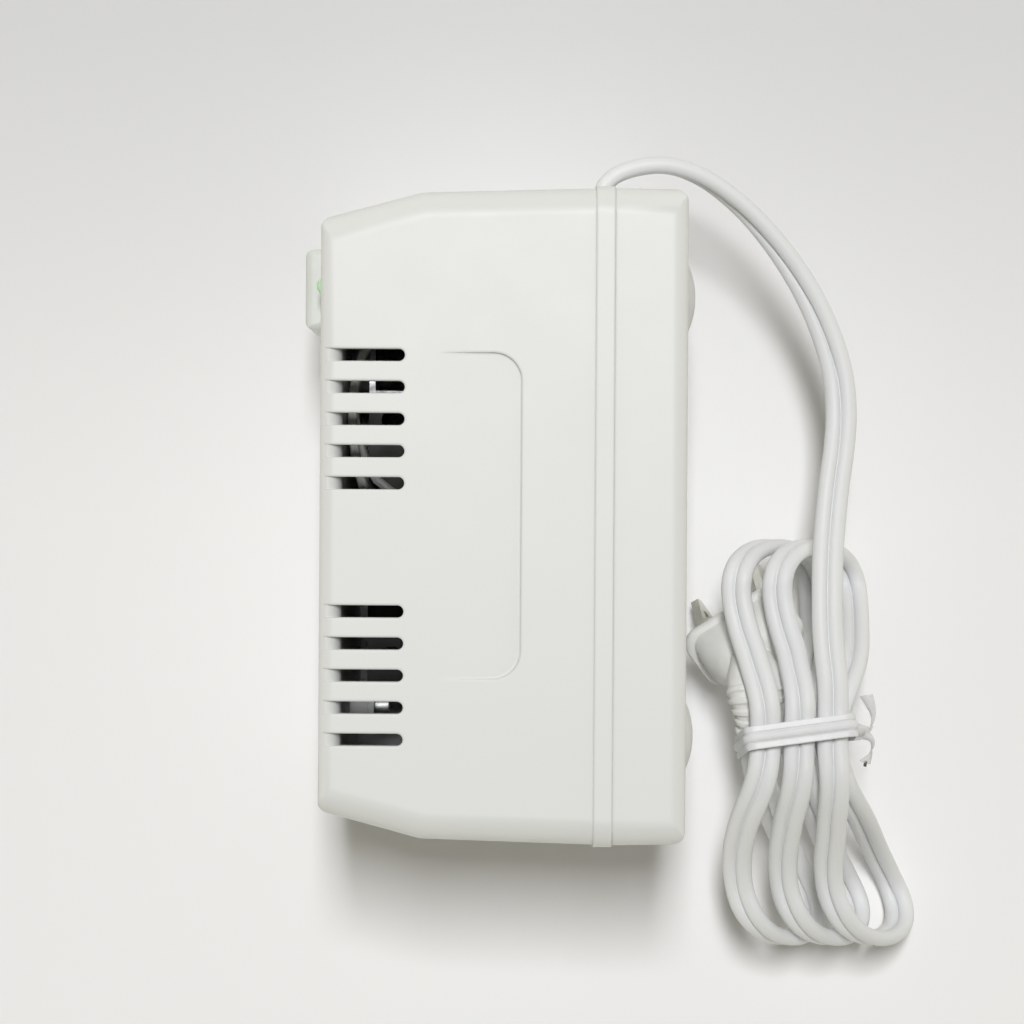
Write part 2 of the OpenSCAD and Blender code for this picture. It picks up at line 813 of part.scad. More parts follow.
// Small board under the lamp, on a pin of its boss
module lamp_board() {
    color("#b98a4a")
    difference() {
        translate([0, board_y, board_z])
            along_x(x_board, x_board + board_t) plate2d(board_l, board_w, board_r);
        translate([0, boss_y, boss_z]) rod(x_board - over, x_board + board_t + over, board_pin_d + screw_fit);
    }
}

// Series resistor of the lamp, lying on its board
module lamp_resistor() {
    color("#c8b48a")
    translate([x_board + board_t + resistor_d / 2, outlet_y + resistor_l / 2, board_z - resistor_in])
        rotate([90, 0, 0]) cylinder(h = resistor_l, d = resistor_d);
}

// Round wire from p0 to p3 that leaves towards p1 and arrives from p2
module wire(p0, p1, p2, p3, d) {
    steps = 10;
    path = concat([p0], [for (i = [0:steps]) bend(p0 + d / 2 * unit(p1 - p0), p1, p2,
        p3 + d / 2 * unit(p2 - p3), i / steps)], [p3]);
    square_to = cross(unit(p1 - p0), unit(p3 - p0));
    section = [for (a = [0:45:315]) d / 2 * [cos(a), sin(a)]];
    tube(swept_rings(path, [for (p = path) square_to], section));
}

// Two white leads from the coil along the inside of the front wall to the lamp's board
module lamp_leads() {
    x_pull = x_inner - wall_pull;
    pad_y = board_y - board_l / 2 + pad_edge;
    color("#e8e8e4")
    for (s = [-1, 1])
        let (y = core_at + lamp_lead_at - lamp_lead_gap * s, z = z_mid + lead_up - lead_d + lead_d * s)
            wire([x_coil - bobbin_t, y, z], [x_pull, y, z],
                [x_pull, pad_y, board_z + pad_half * s], [x_board, pad_y, board_z + pad_half * s], lead_d);
}

// Core: stack of E and I sheets with two windows and four rivet holes
module core_laminations() {
    color("#2c2d2f")
    translate([0, 0, z_mid - core_z / 2])
        linear_extrude(core_z)
            difference() {
                translate([x_core, core_low]) square([core_x, core_y]);
                for (s = [-1, 1])
                    translate([x_window, core_at + s * (leg_w + window_w) / 2 - window_w / 2])
                        square([window_l, window_w]);
                for (x = [x_core + yoke_w / 2, x_yoke - yoke_w / 2])
                    for (y = [core_low + yoke_w / 2, core_high - yoke_w / 2])
                        translate([x, y]) circle(d = lamination_hole);
            }
}

// Ring of rounded rectangular section round the centre leg
module leg_ring(x0, x1, inner_w, inner_h, t, r) {
    translate([0, core_at, z_mid])
        along_x(x0, x1)
            difference() {
                plate2d(inner_w + 2 * t, inner_h + 2 * t, r + t);
                plate2d(inner_w, inner_h, r);
            }
}

// Bobbin: tube round the centre leg with two flanges
module bobbin() {
    hole_w = leg_w + 2 * bobbin_fit;
    hole_h = core_z + 2 * bobbin_fit;
    color("#d8d4c4")
    difference() {
        translate([0, core_at, z_mid]) {
            along_x(x_coil - bobbin_t, x_coil_end) square([tube_w, tube_h], center = true);
            for (x = [x_coil - bobbin_t, x_coil_end - bobbin_t])
                along_x(x, x + bobbin_t) plate2d(flange_w, flange_h, wind_r);
        }
        translate([0, core_at, z_mid])
            along_x(x_coil - bobbin_t - over, x_coil_end + over) square([hole_w, hole_h], center = true);
    }
}

// Primary winding on the bobbin
module primary_winding() {
    color("#b5652e")
    difference() {
        translate([0, core_at, z_mid])
            along_x(x_coil, x_coil + coil_l) plate2d(tube_w + 2 * primary_t, tube_h + 2 * primary_t, wind_r);
        translate([0, core_at, z_mid])
            along_x(x_coil - over, x_coil + coil_l + over) square([tube_w, tube_h], center = true);
    }
}

// Secondary winding over the first layer of tape
module secondary_winding() {
    inside = primary_t + tape_t;
    color("#a8562a")
    leg_ring(x_coil, x_coil + coil_l, tube_w + 2 * inside, tube_h + 2 * inside, secondary_t, wind_r + tape_t);
}

// Tape between the windings and over them
module winding_tape() {
    outside = coil_t - tape_t;
    color("#d9c25a") {
        leg_ring(x_coil, x_coil + coil_l, tube_w + 2 * primary_t, tube_h + 2 * primary_t, tape_t, wind_r);
        leg_ring(x_coil, x_coil + coil_l, tube_w + 2 * outside, tube_h + 2 * outside, tape_t,
            wind_r + tape_t + secondary_t);
    }
}

// Steel strap folded over the core, with two feet
module core_bracket() {
    color("#a9abad")
    difference() {
        translate([0, 0, z_mid - strap_w / 2])
            linear_extrude(strap_w)
                difference() {
                    union() {
                        translate([x_core, core_low - strap_t])
                            square([core_x + strap_t, core_y + 2 * strap_t]);
                        translate([x_core, core_low - strap_t - strap_foot])
                            square([strap_t, core_y + 2 * strap_t + 2 * strap_foot]);
                    }
                    translate([x_core - over, core_low]) square([core_x + over, core_y]);
                }
        at_bracket_feet() rod(x_core - over, x_core + strap_t + over, screw_d + screw_fit);
    }
}

// Two screws that hold the bracket to the front wall
module bracket_screws() {
    color("#9a9c9e")
    at_bracket_feet() screw(x_boss + strap_t, screw_d, bracket_screw_l, screw_head_d, screw_head_h);
}

// Thermal fuse lying on the coil
module thermal_fuse() {
    color("#d8d8d2")
    translate([0, core_at, z_mid + coil_h / 2 + fuse_d / 2])
        rod(x_coil + coil_l / 2 - fuse_l / 2, x_coil + coil_l / 2 + fuse_l / 2, fuse_d);
}

// Two closed-end splice caps, lying on the bracket
module splice_caps() {
    color("#ecece8")
    for (s = [-1, 1])
        translate([x_cap, cap_mouth, z_mid + s * cap_z]) {
            rotate([90, 0, 0]) cylinder(h = cap_l - cap_d / 2, d = cap_d);
            translate([0, cap_d / 2 - cap_l, 0]) sphere(d = cap_d);
        }
}

// Two leads from the splice caps to the coil's rear flange
module primary_leads() {
    color("#e8e8e4")
    both_sides()
        wire([x_cap, cap_mouth, z_mid + cap_z + splice_step],
            [x_cap, cap_mouth + splice_bow, z_mid + cap_z + splice_step],
            [x_cap + primary_out, core_at - primary_at, z_mid + lead_up],
            [x_coil_end, core_at - primary_at, z_mid + lead_up], lead_d);
}

// Two leads from the coil's rear flange to the tails of the outlet's contacts
module secondary_leads() {
    x_tail = x_back + back_t + tail_l;
    color("#2f3a66")
    both_sides()
        wire([x_coil_end, core_at + secondary_at, z_mid + lead_up],
            [x_coil_end + lead_bow, core_at + secondary_at, z_mid + lead_up],
            [x_tail + outlet_bow, outlet_y, z_mid + blade_pitch / 2],
            [x_tail, outlet_y, z_mid + blade_pitch / 2], lead_d);
}

// Bar that clamps the cord to the cover
module cord_clamp() {
    color("#dcdcd6")
    difference() {
        translate([0, clamp_y, z_mid])
            along_x(x_clamp - clamp_t, x_clamp) plate2d(clamp_w, clamp_l, clamp_w / 3);
        at_clamp_ends() rod(x_clamp - clamp_t - over, x_clamp + over, small_screw_d + screw_fit);
    }
}

// Two screws of the clamp, with their heads towards the front
module cord_clamp_screws() {
    color("#9a9c9e")
    at_clamp_ends()
        translate([x_clamp - clamp_t, 0, 0]) mirror([1, 0, 0])
            screw(0, small_screw_d, clamp_screw_l, small_head_d, small_head_h);
}

// Flat cord inside the case, from its notch through the clamp
module cord_inlet() {
    color("#dfe1df")
    translate([x_cord, y_end, z_mid]) rotate([90, 0, 0])
        linear_extrude(y_end - inlet_end) rotate(90) stadium(cord_w, cord_t);
}

// The cord's two cores, on their way to the splice caps
module cord_cores() {
    color("#e8e8e4")
    both_sides()
        wire([x_cord, inlet_end, z_mid + core_gap],
            [x_cord, inlet_end - lead_bow, z_mid + core_gap],
            [x_cap, cap_mouth + splice_bow, z_mid + cap_z - splice_step],
            [x_cap, cap_mouth, z_mid + cap_z - splice_step], lead_d);
}

// Smooth step from 0 to 1
function eased(t) = let (u = min(1, max(0, t))) u * u * (3 - 2 * u);

// Direction of a path at point i
function heading(path, i) = unit(path[min(len(path) - 1, i + 1)] - path[max(0, i - 1)]);

// Rings of a flat section along a path, with the wide side near the given direction
function swept_rings(path, wide, section) = [for (i = [0:len(path) - 1])
    let (t = heading(path, i), n = unit(wide[i] - (wide[i] * t) * t), b = cross(t, n))
        [for (q = section) path[i] + q[0] * n + q[1] * b]];

// Closed tube of triangles over rings
module tube(rings) {
    sides = len(rings[0]);
    last = len(rings) - 1;
    walls = [for (i = [0:last - 1]) for (j = [0:sides - 1])
        let (a = i * sides + j, b = i * sides + (j + 1) % sides)
            each [[a, a + sides, b], [b, a + sides, b + sides]]];
    near_cap = [for (j = [1:sides - 2]) [0, j, j + 1]];
    far_cap = [for (j = [1:sides - 2]) [last * sides, last * sides + j + 1, last * sides + j]];
    polyhedron([for (r = rings) each r], concat(near_cap, walls, far_cap));
}

// Free stretch of cord, from the notch over the hank to its waist
module mains_cord() {
    path = [for (p = route) [p[0], p[1], p[2]]];
    wide = [for (i = [0:len(route) - 1])
        let (t = heading(path, i), side = unit(cross(t, [0, 0, 1])))
            cos(route[i][3]) * [0, 0, 1] - sin(route[i][3]) * side];
    edge = [cord_w / 2, cord_t / 5];
    face = [(cord_w - cord_t / 1.6) / 2, cord_t / 2];
    section = [edge, face, [-face[0], face[1]], [-edge[0], edge[1]], -edge, -face,
        [face[0], -face[1]], [edge[0], -edge[1]]];
    color("#e0e2e0") tube(swept_rings(path, wide, section));
}

// Tilt of the loops' plane at an angle of winding
function hank_lean(a) = (sin(a) > 0 ? low_tilt : top_tilt) * eased(abs(sin(a)) / 0.4);

// Middle of the cord at an angle of winding: loops drawn in at the waist, stepping aside on each run
function hank_point(a) = let (
    f = abs(sin(a)),
    low = sin(a) > 0,
    bulge = cos(a) * (waist_half + (low ? low_open : top_open) * f * f),
    turn = a / 360,
    stepped = floor(turn) + eased(2 * (turn - floor(turn)) - 1),
    pitch = waist_step + ((low ? low_step : top_step) - waist_step) * eased(f / 0.55),
    aside = (low ? low_lean : top_lean) * f * f + (low ? low_sway : top_sway) * eased(f / 0.5),
    level = waist[2] - (waist[2] - (low ? low_z : top_z)) * eased((f - 0.1) / 0.7))
        [waist[0] - stepped * pitch + aside - bulge * sin(hank_lean(a)),
        waist[1] - (low ? low_run : top_run) * sin(a),
        level + bulge * cos(hank_lean(a))];

// Plug's own axes: along its blades, across its blades and out of its wide face
plug_fore = [-sin(plug_heading) * cos(plug_tilt), cos(plug_heading) * cos(plug_tilt), -sin(plug_tilt)];
plug_side = [cos(plug_heading), sin(plug_heading), 0];
plug_wide = cos(plug_roll) * plug_side + sin(plug_roll) * cross(plug_side, plug_fore);
plug_up = cross(plug_wide, plug_fore);
neck_back = cos(neck_turn) * plug_up + sin(neck_turn) * plug_wide;
neck_wide = cos(neck_turn) * plug_wide - sin(neck_turn) * plug_up;
neck_end = plug_at - (plug_l + neck_r * sin(neck_deg)) * plug_fore
    - neck_r * (1 - cos(neck_deg)) * neck_back;
neck_into = cos(neck_deg) * plug_fore + sin(neck_deg) * neck_back;

// Point of a curve from p0 to p3, drawn towards p1 and p2
function bend(p0, p1, p2, p3, t) = pow(1 - t, 3) * p0 + 3 * t * pow(1 - t, 2) * p1
    + 3 * t * t * (1 - t) * p2 + t * t * t * p3;

// Hank of cord: straight lead-in, loops, and a tail that ends straight in the plug's neck
function hank_path() = let (
    angles = [for (i = [0:hank_rings - 1]) hank_turn * i / (hank_rings - 1)],
    loops = [for (a = angles) hank_point(a)],
    from = loops[hank_rings - 1],
    onward = unit(hank_point(hank_turn) - hank_point(hank_turn - 1)),
    into = neck_end - cord_t * neck_into)
        concat([hank_point(0) + [0, lead_in, 0]], loops,
            [for (i = [1:tail_rings]) bend(from, from + tail_reach[0] * onward,
                into - tail_reach[1] * neck_into, into, i / tail_rings)],
            [neck_end]);

// Direction of the cord's wide side along the hank
function hank_wide() = let (
    lean_end = hank_lean(hank_turn),
    end_wide = [cos(lean_end), 0, sin(lean_end)])
        concat([[1, 0, 0]],
            [for (i = [0:hank_rings - 1]) let (t = hank_lean(hank_turn * i / (hank_rings - 1)))
                [cos(t), 0, sin(t)]],
            [for (i = [1:tail_rings]) let (u = eased(i / tail_rings)) (1 - u) * end_wide + u * neck_wide],
            [neck_wide]);

// Least distance between points of rings that lie more than skip rings apart along the tube
function least_gap(rings, skip) = let (dense = [for (i = [0:len(rings) - 2]) [for (j = [0:5]) each
        [rings[i][j], (rings[i][j] + rings[i][(j + 1) % 6]) / 2, (rings[i][j] + rings[i + 1][j]) / 2]]])
    min([for (i = [0:len(dense) - 1]) for (k = [i + skip:1:len(dense) - 1])
        if (norm(dense[i][0] - dense[k][0]) < 3 * cord_w)
            min([for (p = dense[i]) for (q = dense[k]) norm(p - q)])]);

module cord_hank() {
    round_in = (cord_w - cord_t) / 2;
    section = [[cord_w / 2, 0], [round_in, cord_t / 2], [-round_in, cord_t / 2],
        [-cord_w / 2, 0], [-round_in, -cord_t / 2], [round_in, -cord_t / 2]];
    rings = swept_rings(hank_path(), hank_wide(), section);
    echo(hank_least_gap = least_gap(rings, 8), hank_lowest = min([for (r = rings) for (p = r) p[2]]));
    color("#e2e4e2") tube(rings);
}

// Round bar between two points
module bar(p, q, d) {
    v = q - p;
    translate(p) rotate([0, acos(v[2] / norm(v)), atan2(v[1], v[0])]) cylinder(h = norm(v), d = d);
}

// Tie: flat band round the waist of the hank, with its knot and its two tails
module cord_tie() {
    outward = [[-1, -1], [0.3, -1], [1, -1], [1, 1], [-1, 1]];
    color("#f0f1ef") {
        translate(tie_mid) rotate([tie_tilt, 0, tie_turn]) rotate([90, 0, 0])
            linear_extrude(tie_w, center = true)
                difference() {
                    rounded([for (i = [0:4]) tie_loop[i] + tie_t * outward[i]],
                        [for (r = tie_corners) r + tie_t]);
                    rounded(tie_loop, tie_corners);
                }
        bar(tie_knot - [tie_knot_l, 0, 0], tie_knot, tie_knot_d);
        for (end = tie_tails)
            bar(tie_knot - [tie_tail_d / 2, 0, 0], end, tie_tail_d);
    }
}

// Places a solid that points along +Z on the plug's axis, with its wide side along X
module on_plug() {
    translate(plug_at)
        rotate([0, 0, plug_heading]) rotate([-90 - plug_tilt, 0, 0]) rotate([0, 0, -plug_roll])
            children();
}

// Moulded plug: rim, tapered body and bent, ribbed neck
module plug_body() {
    rib_step = neck_deg / (rib_count + 0.6);
    color("#e4e4df")
    on_plug() {
        translate([0, 0, -rim_l]) linear_extrude(rim_l) plate2d(rim_w, rim_t, plug_corner);
        hull() {
            translate([0, 0, -rim_l - slice])
                linear_extrude(slice) plate2d(body_rear[0], body_rear[1], plug_corner);
            translate([0, 0, -plug_l])
                linear_extrude(slice) plate2d(shoulder[0], shoulder[1], plug_corner);
        }
        rotate([0, 0, neck_turn]) translate([0, neck_r, -plug_l]) rotate([-90, 0, -90]) {
            rotate([0, 0, -neck_lap])
                rotate_extrude(angle = neck_deg + neck_lap)
                    translate([neck_r, 0]) rotate(90) stadium(neck_core[0], neck_core[1]);
            for (i = [0:rib_count - 1])
                rotate([0, 0, rib_step * (i + 0.5)])
                    rotate_extrude(angle = rib_step * 0.6)
                        translate([neck_r, 0]) rotate(90)
                            stadium(rib_first[0] + (rib_last[0] - rib_first[0]) * i / (rib_count - 1),
                                rib_first[1] + (rib_last[1] - rib_first[1]) * i / (rib_count - 1));
        }
    }
}

// Two flat blades with bevelled tips and a hole each
module plug_blades() {
    hole_d = 3.2;
    hole_at = 11.9;
    tip = 1.6;
    color("#b9bab0")
    on_plug()
        for (s = [-1, 1])
            translate([s * blade_pitch / 2, 0, 0])
                rotate([90, 0, 90])
                    linear_extrude(blade_t, center = true)
                        difference() {
                            polygon([[-blade_w / 2, 0], [blade_w / 2, 0], [blade_w / 2, blade_l - tip],
                                [blade_w / 2 - tip, blade_l], [tip - blade_w / 2, blade_l],
                                [-blade_w / 2, blade_l - tip]]);
                            translate([0, hole_at]) circle(d = hole_d);
                        }
}

front_housing();
rear_cover();
cover_screws();
rubber_feet();
outlet_face();
outlet_contacts();
outlet_back();
outlet_screws();
pilot_lamp();
lamp_board();
lamp_resistor();
lamp_leads();
core_laminations();
bobbin();
primary_winding();
secondary_winding();
winding_tape();
core_bracket();
bracket_screws();
thermal_fuse();
splice_caps();
primary_leads();
secondary_leads();
cord_clamp();
cord_clamp_screws();
cord_inlet();
cord_cores();
mains_cord();
cord_hank();
cord_tie();
plug_body();
plug_blades();
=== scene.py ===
# %% [markdown]
# # A travel voltage converter, dressed on its CAD frame
#
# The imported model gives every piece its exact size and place. This lesson adds what makes the pieces look
# real: soft light from above, moulded plastic with its fine skin, a twin-core cord with a groove between
# its cores, a plug with a ribbed neck and a twist tie. Every object stays in metres, in the CAD's frame.

# %% Load the frame
import math

import bmesh
import bpy
from mathutils import Matrix, Vector


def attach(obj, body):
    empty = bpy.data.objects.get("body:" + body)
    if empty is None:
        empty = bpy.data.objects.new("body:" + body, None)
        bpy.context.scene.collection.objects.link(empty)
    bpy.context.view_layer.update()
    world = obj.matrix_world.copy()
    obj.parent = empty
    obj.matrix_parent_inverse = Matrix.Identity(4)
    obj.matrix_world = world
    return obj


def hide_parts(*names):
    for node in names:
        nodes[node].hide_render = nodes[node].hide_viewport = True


MM = 0.001
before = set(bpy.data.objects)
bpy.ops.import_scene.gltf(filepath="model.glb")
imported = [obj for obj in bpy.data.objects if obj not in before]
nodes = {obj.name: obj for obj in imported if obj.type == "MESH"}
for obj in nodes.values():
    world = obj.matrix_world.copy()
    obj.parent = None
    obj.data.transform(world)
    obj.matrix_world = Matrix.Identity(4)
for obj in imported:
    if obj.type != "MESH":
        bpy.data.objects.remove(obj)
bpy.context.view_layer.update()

# %% [markdown]
# ## Camera
#
# The photograph looks straight down on the converter from a little over half a metre, with a long lens,
# so the outlet's face shows only as a sliver beyond the front edge. A lens of 109 mm on a 36 mm sensor
# gives 3100 pixels of focal length on an image 1024 pixels wide. The camera is turned by a third of a
# degree, because the case lies a little clockwise in the picture.

# %% Camera
CAMERA_AT = Vector((2.6, 0.65, 570)) * MM
FOCAL_PIXELS = 3100
IMAGE_PIXELS = 1024
CAMERA_TURN = math.radians(0.36)

camera_data = bpy.data.cameras.new("camera")
camera_data.sensor_width = 36
camera_data.lens = FOCAL_PIXELS / IMAGE_PIXELS * camera_data.sensor_width
camera_data.clip_start = 0.01
camera = bpy.data.objects.new("camera", camera_data)
camera.location = CAMERA_AT
camera.rotation_euler = (0, 0, CAMERA_TURN)
bpy.context.scene.collection.objects.link(camera)
bpy.context.scene.camera = camera
print("lens:", round(camera_data.lens, 1))

# %% [markdown]
# ## A helper for finishes
#
# Real plastics, metals and papers are never one flat colour. They drift a little over centimetres, their
# gloss changes in patches, and a fine grain breaks up the highlights. All three come from noise textures,
# so one helper makes a finish from a colour, its drift, its gloss and its grain. The noise reads Object
# coordinates, which stay in place on the piece. A longer pattern, such as brushing on metal, comes from
# stretching those coordinates.

# %% Helper for noise
NOISE_LOW, NOISE_HIGH = 0.3, 0.7


def noise_on(finish, size, stretch=(1, 1, 1), coordinates="Object"):
    tree = finish.node_tree
    place = tree.nodes.new("ShaderNodeTexCoord")
    mapping = tree.nodes.new("ShaderNodeMapping")
    mapping.inputs["Scale"].default_value = stretch
    noise = tree.nodes.new("ShaderNodeTexNoise")
    noise.inputs["Scale"].default_value = 1 / size
    noise.inputs["Detail"].default_value = 3
    tree.links.new(place.outputs[coordinates], mapping.inputs["Vector"])
    tree.links.new(mapping.outputs["Vector"], noise.inputs["Vector"])
    return noise


def spread_out(finish, noise, low, high):
    spread = finish.node_tree.nodes.new("ShaderNodeMapRange")
    spread.inputs["From Min"].default_value = NOISE_LOW
    spread.inputs["From Max"].default_value = NOISE_HIGH
    spread.inputs["To Min"].default_value = low
    spread.inputs["To Max"].default_value = high
    finish.node_tree.links.new(noise.outputs["Fac"], spread.inputs["Value"])
    return spread


print("helpers:", noise_on.__name__, spread_out.__name__)


# %% Helper for finishes
def shader_of(finish):
    return finish.node_tree.nodes["Principled BSDF"]


def make_finish(name, colour, drift=0.03, patch=10, gloss=(0.36, 0.46), grain=0.5, relief=0.02, metal=0.0,
                stretch=(1, 1, 1), coordinates="Object"):
    """Finish with its colour, the drift of that colour, and sizes of patches, grain and relief in mm."""
    finish = bpy.data.materials.new(name)
    finish.use_nodes = True
    tree = finish.node_tree
    shader = shader_of(finish)
    shader.inputs["Metallic"].default_value = metal
    patches = noise_on(finish, patch * MM, stretch, coordinates)
    tones = tree.nodes.new("ShaderNodeValToRGB")
    for element, at, k in zip(tones.color_ramp.elements, (NOISE_LOW, NOISE_HIGH), (1 - drift, 1 + drift)):
        element.position = at
        element.color = (*(min(1, c * k) for c in colour), 1)
    tree.links.new(patches.outputs["Fac"], tones.inputs["Fac"])
    tree.links.new(tones.outputs["Color"], shader.inputs["Base Color"])
    rough = spread_out(finish, noise_on(finish, patch / 4 * MM, stretch, coordinates), *gloss)
    tree.links.new(rough.outputs["Result"], shader.inputs["Roughness"])
    bump = tree.nodes.new("ShaderNodeBump")
    bump.inputs["Distance"].default_value = relief * MM
    bump.inputs["Strength"].default_value = 0.5
    fine = noise_on(finish, grain * MM, stretch, coordinates)
    tree.links.new(fine.outputs["Fac"], bump.inputs["Height"])
    tree.links.new(bump.outputs["Normal"], shader.inputs["Normal"])
    return finish


def dress(piece, finish):
    piece.data.materials.clear()
    piece.data.materials.append(finish)


print("helpers:", make_finish.__name__, dress.__name__)

# %% [markdown]
# ## The cord's route
#
# The cord leaves the case on edge, sags as it bends over to the right, turns flat and runs into a hank of
# loops. The loops are drawn in at the waist and open out below and above it. It could be a curve drawn by
# hand, but loops that lie beside each other without cutting through each other are easier to hold by a
# rule. The same rule makes the CAD solid, so the cord lies where its solid is.

# %% Places of the free stretch
CORD_WIDTH = 5.4
CORD_THICK = 2.7
FREE_STEPS = 4
FREE_STRETCH = [
    (17.7, 53.8, 35, 0), (17.7, 55.4, 35, 0), (18.2, 57, 35, 0), (19.8, 58.6, 35, 0), (22.4, 59.8, 34.9, 0),
    (26.2, 60.6, 34.7, 0), (30, 60.5, 34.4, 0), (34.1, 59.2, 34, 5), (38.1, 56.9, 33.5, 10),
    (42.8, 53.1, 32.8, 18), (47.3, 48.3, 32.1, 28), (51.4, 42.8, 31.5, 40), (54.9, 36.8, 31.1, 52),
    (57.6, 30.3, 30.9, 64), (59.2, 24.3, 31, 74), (59.7, 18.2, 31.3, 82), (59.3, 12.1, 31.9, 88),
    (58.4, 6, 32.8, 90), (57.7, 0, 33.9, 90), (57.2, -6, 35, 90), (57, -12, 36, 90), (57, -18, 36.8, 90),
    (57.3, -23, 37.3, 90), (57.8, -27.6, 37.7, 90), (57.9, -30.4, 37.75, 90), (57.9, -32.8, 37.75, 90)]


def through(points, steps):
    """Smooth line through points, with the given steps between each two."""
    line = []
    for i in range(len(points) - 1):
        before, here = points[max(0, i - 1)], points[i]
        there, after = points[i + 1], points[min(len(points) - 1, i + 2)]
        for k in range(steps):
            t = k / steps
            bend = (2 * before - 5 * here + 4 * there - after) * t * t
            line.append(0.5 * (2 * here + (there - before) * t + bend
                               + (3 * here - before - 3 * there + after) * t ** 3))
    return line + [points[-1]]


def along(line, i):
    return (line[min(len(line) - 1, i + 1)] - line[max(0, i - 1)]).normalized()


free_line = through([Vector(p[:3]) for p in FREE_STRETCH], FREE_STEPS)
free_turns = through([Vector((p[3], 0, 0)) for p in FREE_STRETCH], FREE_STEPS)
free_wide = []
for i in range(len(free_line)):
    side = along(free_line, i).cross(Vector((0, 0, 1))).normalized()
    turn = math.radians(free_turns[i].x)
    free_wide.append(math.cos(turn) * Vector((0, 0, 1)) - math.sin(turn) * side)
print("points of the free stretch:", len(free_line))

# %% Loops of the hank
WAIST = Vector((57.9, -38.2, 36))
WAIST_STEP = 5.75
WAIST_HALF = 1.75
LOW = {"step": 8, "run": 37, "open": 29, "z": 13.8, "tilt": 32, "lean": 9.5, "sway": 2.3}
TOP = {"step": 7.1, "run": 33, "open": 34, "z": 19, "tilt": 24, "lean": -1.6, "sway": 3.2}
HANK_TURN = 2 * math.pi * 2.36
LOOP_STEPS = 380
# Shares of a loop's reach at which it has its full lean, pitch and sway, and where it sinks to its level
LEAN_BY, PITCH_BY, SWAY_BY, SINK_FROM, SINK_OVER = 0.4, 0.55, 0.5, 0.1, 0.7


def eased(t):
    t = min(1.0, max(0.0, t))
    return t * t * (3 - 2 * t)


def loop_lean(angle):
    side = LOW if math.sin(angle) > 0 else TOP
    return math.radians(side["tilt"]) * eased(abs(math.sin(angle)) / LEAN_BY)


def loop_point(angle):
    side, f = (LOW if math.sin(angle) > 0 else TOP), abs(math.sin(angle))
    bulge = math.cos(angle) * (WAIST_HALF + side["open"] * f * f)
    turn = angle / (2 * math.pi)
    stepped = math.floor(turn) + eased(2 * (turn - math.floor(turn)) - 1)
    pitch = WAIST_STEP + (side["step"] - WAIST_STEP) * eased(f / PITCH_BY)
    aside = side["lean"] * f * f + side["sway"] * eased(f / SWAY_BY)
    level = WAIST.z - (WAIST.z - side["z"]) * eased((f - SINK_FROM) / SINK_OVER)
    lean = loop_lean(angle)
    return Vector((WAIST.x - stepped * pitch + aside - bulge * math.sin(lean),
                   WAIST.y - side["run"] * math.sin(angle), level + bulge * math.cos(lean)))


loop_angles = [HANK_TURN * i / LOOP_STEPS for i in range(LOOP_STEPS + 1)]
loop_line = [loop_point(a) for a in loop_angles]
loop_wide = [Vector((math.cos(loop_lean(a)), 0, math.sin(loop_lean(a)))) for a in loop_angles]
print("turns of the hank:", round(HANK_TURN / (2 * math.pi), 2))

# %% Axes of the plug
PLUG_AT = Vector((44, -20.7, 17.8))
PLUG_HEADING, PLUG_TILT, PLUG_ROLL = (math.radians(a) for a in (9.2, 64, 25.7))
PLUG_LENGTH = 10.5
NECK_RADIUS = 8.5
NECK_BEND, NECK_TURN = math.radians(95), math.radians(34)

plug_fore = Vector((-math.sin(PLUG_HEADING) * math.cos(PLUG_TILT),
                    math.cos(PLUG_HEADING) * math.cos(PLUG_TILT), -math.sin(PLUG_TILT)))
plug_side = Vector((math.cos(PLUG_HEADING), math.sin(PLUG_HEADING), 0))
plug_wide = math.cos(PLUG_ROLL) * plug_side + math.sin(PLUG_ROLL) * plug_side.cross(plug_fore)
plug_up = plug_wide.cross(plug_fore)
neck_back = math.cos(NECK_TURN) * plug_up + math.sin(NECK_TURN) * plug_wide
neck_wide = math.cos(NECK_TURN) * plug_wide - math.sin(NECK_TURN) * plug_up


def neck_point(angle):
    return (PLUG_AT - (PLUG_LENGTH + NECK_RADIUS * math.sin(angle)) * plug_fore
            - NECK_RADIUS * (1 - math.cos(angle)) * neck_back)


neck_end = neck_point(NECK_BEND)
neck_into = math.cos(NECK_BEND) * plug_fore + math.sin(NECK_BEND) * neck_back
print("end of the neck, mm:", [round(v, 1) for v in neck_end])

# %% Tail into the plug's neck
TAIL_REACH = (12, 7)
TAIL_STEPS = 40
SMALL_TURN = 0.0175


def curve_point(p0, p1, p2, p3, t):
    return (1 - t) ** 3 * p0 + 3 * t * (1 - t) ** 2 * p1 + 3 * t * t * (1 - t) * p2 + t ** 3 * p3


last = loop_line[-1]
onward = (last - loop_point(HANK_TURN - SMALL_TURN)).normalized()
into = neck_end - CORD_THICK * neck_into
tail_line, tail_wide = [], []
for i in range(1, TAIL_STEPS + 1):
    t = i / TAIL_STEPS
    tail_line.append(curve_point(last, last + TAIL_REACH[0] * onward,
                                 into - TAIL_REACH[1] * neck_into, into, t))
    tail_wide.append((1 - eased(t)) * loop_wide[-1] + eased(t) * neck_wide)

cord_middle = free_line + loop_line + tail_line + [neck_end]
cord_wide = free_wide + loop_wide + tail_wide + [neck_wide]

# %% [markdown]
# ## The cord
#
# A twin-core cord is two oval cores side by side in one skin, so it has two ridges with a groove between
# them. A plain round tube would lose the double highlight and the dark line that the photograph shows on
# every strand. A curve with a bevel object could make it too, but it turns its profile by its own rule.
# Sweeping the section in code keeps the wide side as the route says. The sweep also stores how far along
# and how far round each corner lies, so that the skin's faint waves can follow the cord.

